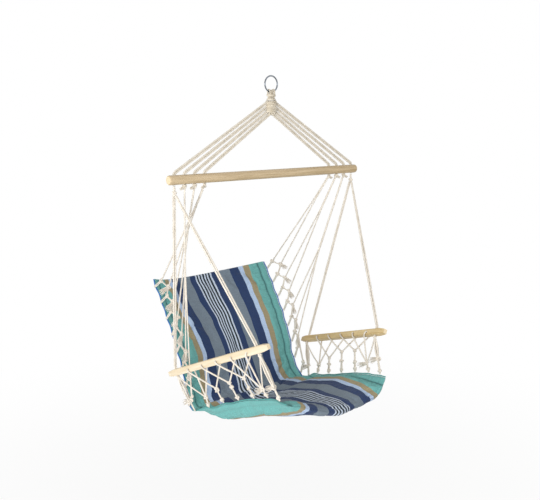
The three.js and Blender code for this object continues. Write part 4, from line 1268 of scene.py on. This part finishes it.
def sagging(start, end, slack):
    """A cord between two points that hangs a little, or bows if it is upright."""
    start, end = np.asarray(start, float), np.asarray(end, float)
    gap = end - start
    length = np.linalg.norm(gap)
    bow = np.array([dice.uniform(-1, 1), dice.uniform(-1, 1), -1.0]) * length * slack
    return [start, mix(start, end, 0.5) + bow, end]


# %% Back nets
LINE_HOLES = [0, 0, 1, 1, 2, 2, 2]  # hole of the bar that each line comes from
INNER_KNOT_STANDOFF, OUTER_KNOT_STANDOFF = 43, 14
OUTER_KNOT_SPREAD = 26
LINE_SPLIT_SHARES = [0.25, 0.3, 0.5]  # how far down the lines of a hole run together
NET_LAY = {-1: np.array([6.0, -34, -4]), 1: np.zeros(3)}  # the near net lies before the cloth
BACK_NET_BLEND = (260, 30)  # before the back's middle: two points along the back, worked out but not used


def back_net_knots(way):
    def hole_of(k):
        return bar_knot(LINE_HOLES[min(k, len(LINE_HOLES) - 1)], way)

    inner = [towards(edge_loop(BACK, k, way), hole_of(k), INNER_KNOT_STANDOFF) + NET_LAY[way] / 2
             for k in range(BACK.loops)]
    outer = []
    for k in range(1, len(LINE_HOLES)):
        knot = towards(mix(inner[k - 1], inner[k], 0.5), hole_of(k), OUTER_KNOT_STANDOFF)
        spread = OUTER_KNOT_SPREAD * (1 - k / len(LINE_HOLES))
        outer.append(knot + NET_LAY[way] / 2 + (np.array([spread, 0, 0]) if way > 0 else 0))
    return inner, outer


def make_back_net(side, way):
    inner, outer = back_net_knots(way)
    skin = Skin()
    for k, knot in enumerate(inner):
        add_lumpy_knot(skin, knot)
        add_net_loop(skin, knot, BACK, k, way)
    for k, knot in enumerate(outer):
        add_lumpy_knot(skin, knot)
        add_net_pair(skin, sagging(inner[k], knot, NET_BOW))
        add_net_pair(skin, sagging(knot, inner[k + 1], NET_BOW), cord=NET_PAIR_CORD * 0.85)
        sideways = 1 - (k + 1) / len(outer)
        tail = unit(np.array([way * sideways, 0, sideways - 1.3])) * TASSEL_LENGTH
        add_tassel(skin, knot, knot + tail, TASSEL_DIAMETER)
    add_net_pair(skin, [outer[-1], inner[-1]])
    ends = [inner[0], *outer]
    for hole in range(OUTERMOST):
        targets = [end for k, end in enumerate(ends) if LINE_HOLES[k] == hole]
        middle = np.mean(targets, axis=0)
        knot = bar_knot(hole, way)
        start = towards(knot, middle, KNOT_DIAMETER / 4)
        split = mix(knot, middle, LINE_SPLIT_SHARES[hole])
        for target in targets:
            apart = unit(target - middle) * NET_PAIR_CORD * 0.6 if len(targets) > 1 else 0
            add_rope(skin, [start + apart * 0.5, split + apart, target], BAR_LINE_CORD)
    piece = skin.make(f"back_net_cords_{side}", CORD, None, [f"back_net_{side}"])
    edge_middle = np.array([0, CREASE_Y + BACK_DEPTH / 2, CREASE_Z + BACK_HEIGHT / 2])
    across = unit(np.array([0, -BACK_HEIGHT, BACK_DEPTH]))
    start, end = ((edge_middle + across * distance) * MM for distance in BACK_NET_BLEND)
    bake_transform(piece)


for side, way in WAYS.items():
    make_back_net(side, way)

# %% Armrest nets
FORWARD_KNOT = [1, 2, 3, 4, 4]  # knot that takes the forward leg of each hole
REARWARD_KNOT = [0, 0, 1, 2, 3]
ARM_NET_KNOTS = 6
# Pairs of a bundle: the way from one cord to the other, and how far they part on the way
BUNDLE_PAIRS = [(PAIR_SIDE, (1, 1.2, 1)), (PAIR_SIDE, (1.2, 3.2, 1.2)), ((1, 0, 0), (1.2, 4, 2))]
CORNER_KNOT_SHARE = 0.3
VISIBLE_FACE = {"right": 1, "left": -1}
# Places of the forks and of the knots below them, between the seat's edge and the holes
FORK_SHARES = {"right": [0.26, 0.4, 0.47, 0.52, 0.2, 0.3],
               "left": [0.23, 0.44, 0.6, 0.61, 0.25, 0.42]}
KNOT_SHARES = {"right": [0.26, 0.35, 0.36, 0.27, 0.2, 0.3],
               "left": [0.23, 0.27, 0.33, 0.28, 0.25, 0.42]}


def arm_leg(arm, hole, face, knot):
    """A cord that leaves its hole, lies down the armrest's face and runs on to its knot."""
    beside = face * (ARM_WIDTH / 2 + NET_CORD / 2 + SEAT_GAP)
    below = -(ARM_HEIGHT / 2 + NET_CORD / 2 + SEAT_GAP)
    at = arm.net_hole(hole)
    end_along, end_out, end_up = arm.local(knot)
    share = below / end_up
    along = at + (end_along - at) * share
    straight = beside + (end_out - beside) * share
    outwards = face * max(face * straight, abs(beside))
    return [arm.point(at, 0, 0), arm.point(at, beside, 0), arm.point(along, outwards, below), knot]


def make_arm_net(side, arm):
    tops = [[] for _ in range(ARM_NET_KNOTS)]
    for hole in range(ARM_NET_HOLES):
        bottom = arm.point(arm.net_hole(hole), 0, -ARM_HEIGHT / 2)
        tops[FORWARD_KNOT[hole]].append(bottom)
        tops[REARWARD_KNOT[hole]].append(bottom)
    tops[-1].append(arm.under("front"))
    knots, forks = [], []
    for k, above in enumerate(tops):
        edge, middle = edge_loop(SEAT, k + 1, arm.way), np.mean(above, axis=0)
        knots.append(mix(edge, middle, KNOT_SHARES[side][k]))
        forks.append(mix(edge, middle, FORK_SHARES[side][k]))
    skin = Skin()
    for k, (knot, fork) in enumerate(zip(knots, forks)):
        add_lumpy_knot(skin, knot, BUNDLE_KNOT if k == ARM_NET_KNOTS - 1 else ARM_KNOT)
        add_net_loop(skin, knot, SEAT, k + 1, arm.way)
        by_edge = towards(edge_loop(SEAT, k + 1, arm.way), knot, NET_KNOT / 2)
        add_lumpy_knot(skin, by_edge, LOOP_KNOT)
        if np.linalg.norm(fork - knot) > NET_CORD:
            add_net_pair(skin, [fork, knot])
            add_lumpy_knot(skin, fork, FORK_KNOT)
    for hole in range(ARM_NET_HOLES):
        face = VISIBLE_FACE[side]
        add_rope(skin, arm_leg(arm, hole, face, forks[FORWARD_KNOT[hole]]), NET_CORD)
        add_rope(skin, arm_leg(arm, hole, -face, forks[REARWARD_KNOT[hole]]), NET_CORD)
    rear, front = arm.under("rear"), arm.under("front")
    corner = edge_loop(SEAT, 0, arm.way)
    corner_knot = mix(corner, rear, CORNER_KNOT_SHARE)
    add_lumpy_knot(skin, corner_knot, BUNDLE_KNOT)
    for hint, scales in BUNDLE_PAIRS:
        add_net_pair(skin, [rear, corner_knot], hint, scales)
        add_net_pair(skin, [front, knots[-1]], hint, scales)
    add_net_loop(skin, corner_knot, SEAT, 0, arm.way)
    add_rope(skin, sagging(rear, forks[0], NET_BOW / 2), ARM_LINE_CORD)
    add_rope(skin, sagging(front, forks[-2], NET_BOW / 2), ARM_LINE_CORD)
    backwards = np.array([0, TASSEL_LENGTH, -TASSEL_LENGTH / 2])
    for knot in (corner_knot, knots[-2], knots[-1]):
        add_tassel(skin, knot, knot + backwards, TASSEL_DIAMETER)
    piece = skin.make(f"arm_net_cords_{side}", CORD, None, [f"arm_net_{side}"])
    low = mix(edge_loop(SEAT, 1, arm.way), edge_loop(SEAT, 6, arm.way), 0.5)
    high = arm.point(ARM_LENGTH / 2, 0, -ARM_HEIGHT / 2)
    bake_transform(piece)


for side, arm in ARMS.items():
    make_arm_net(side, arm)
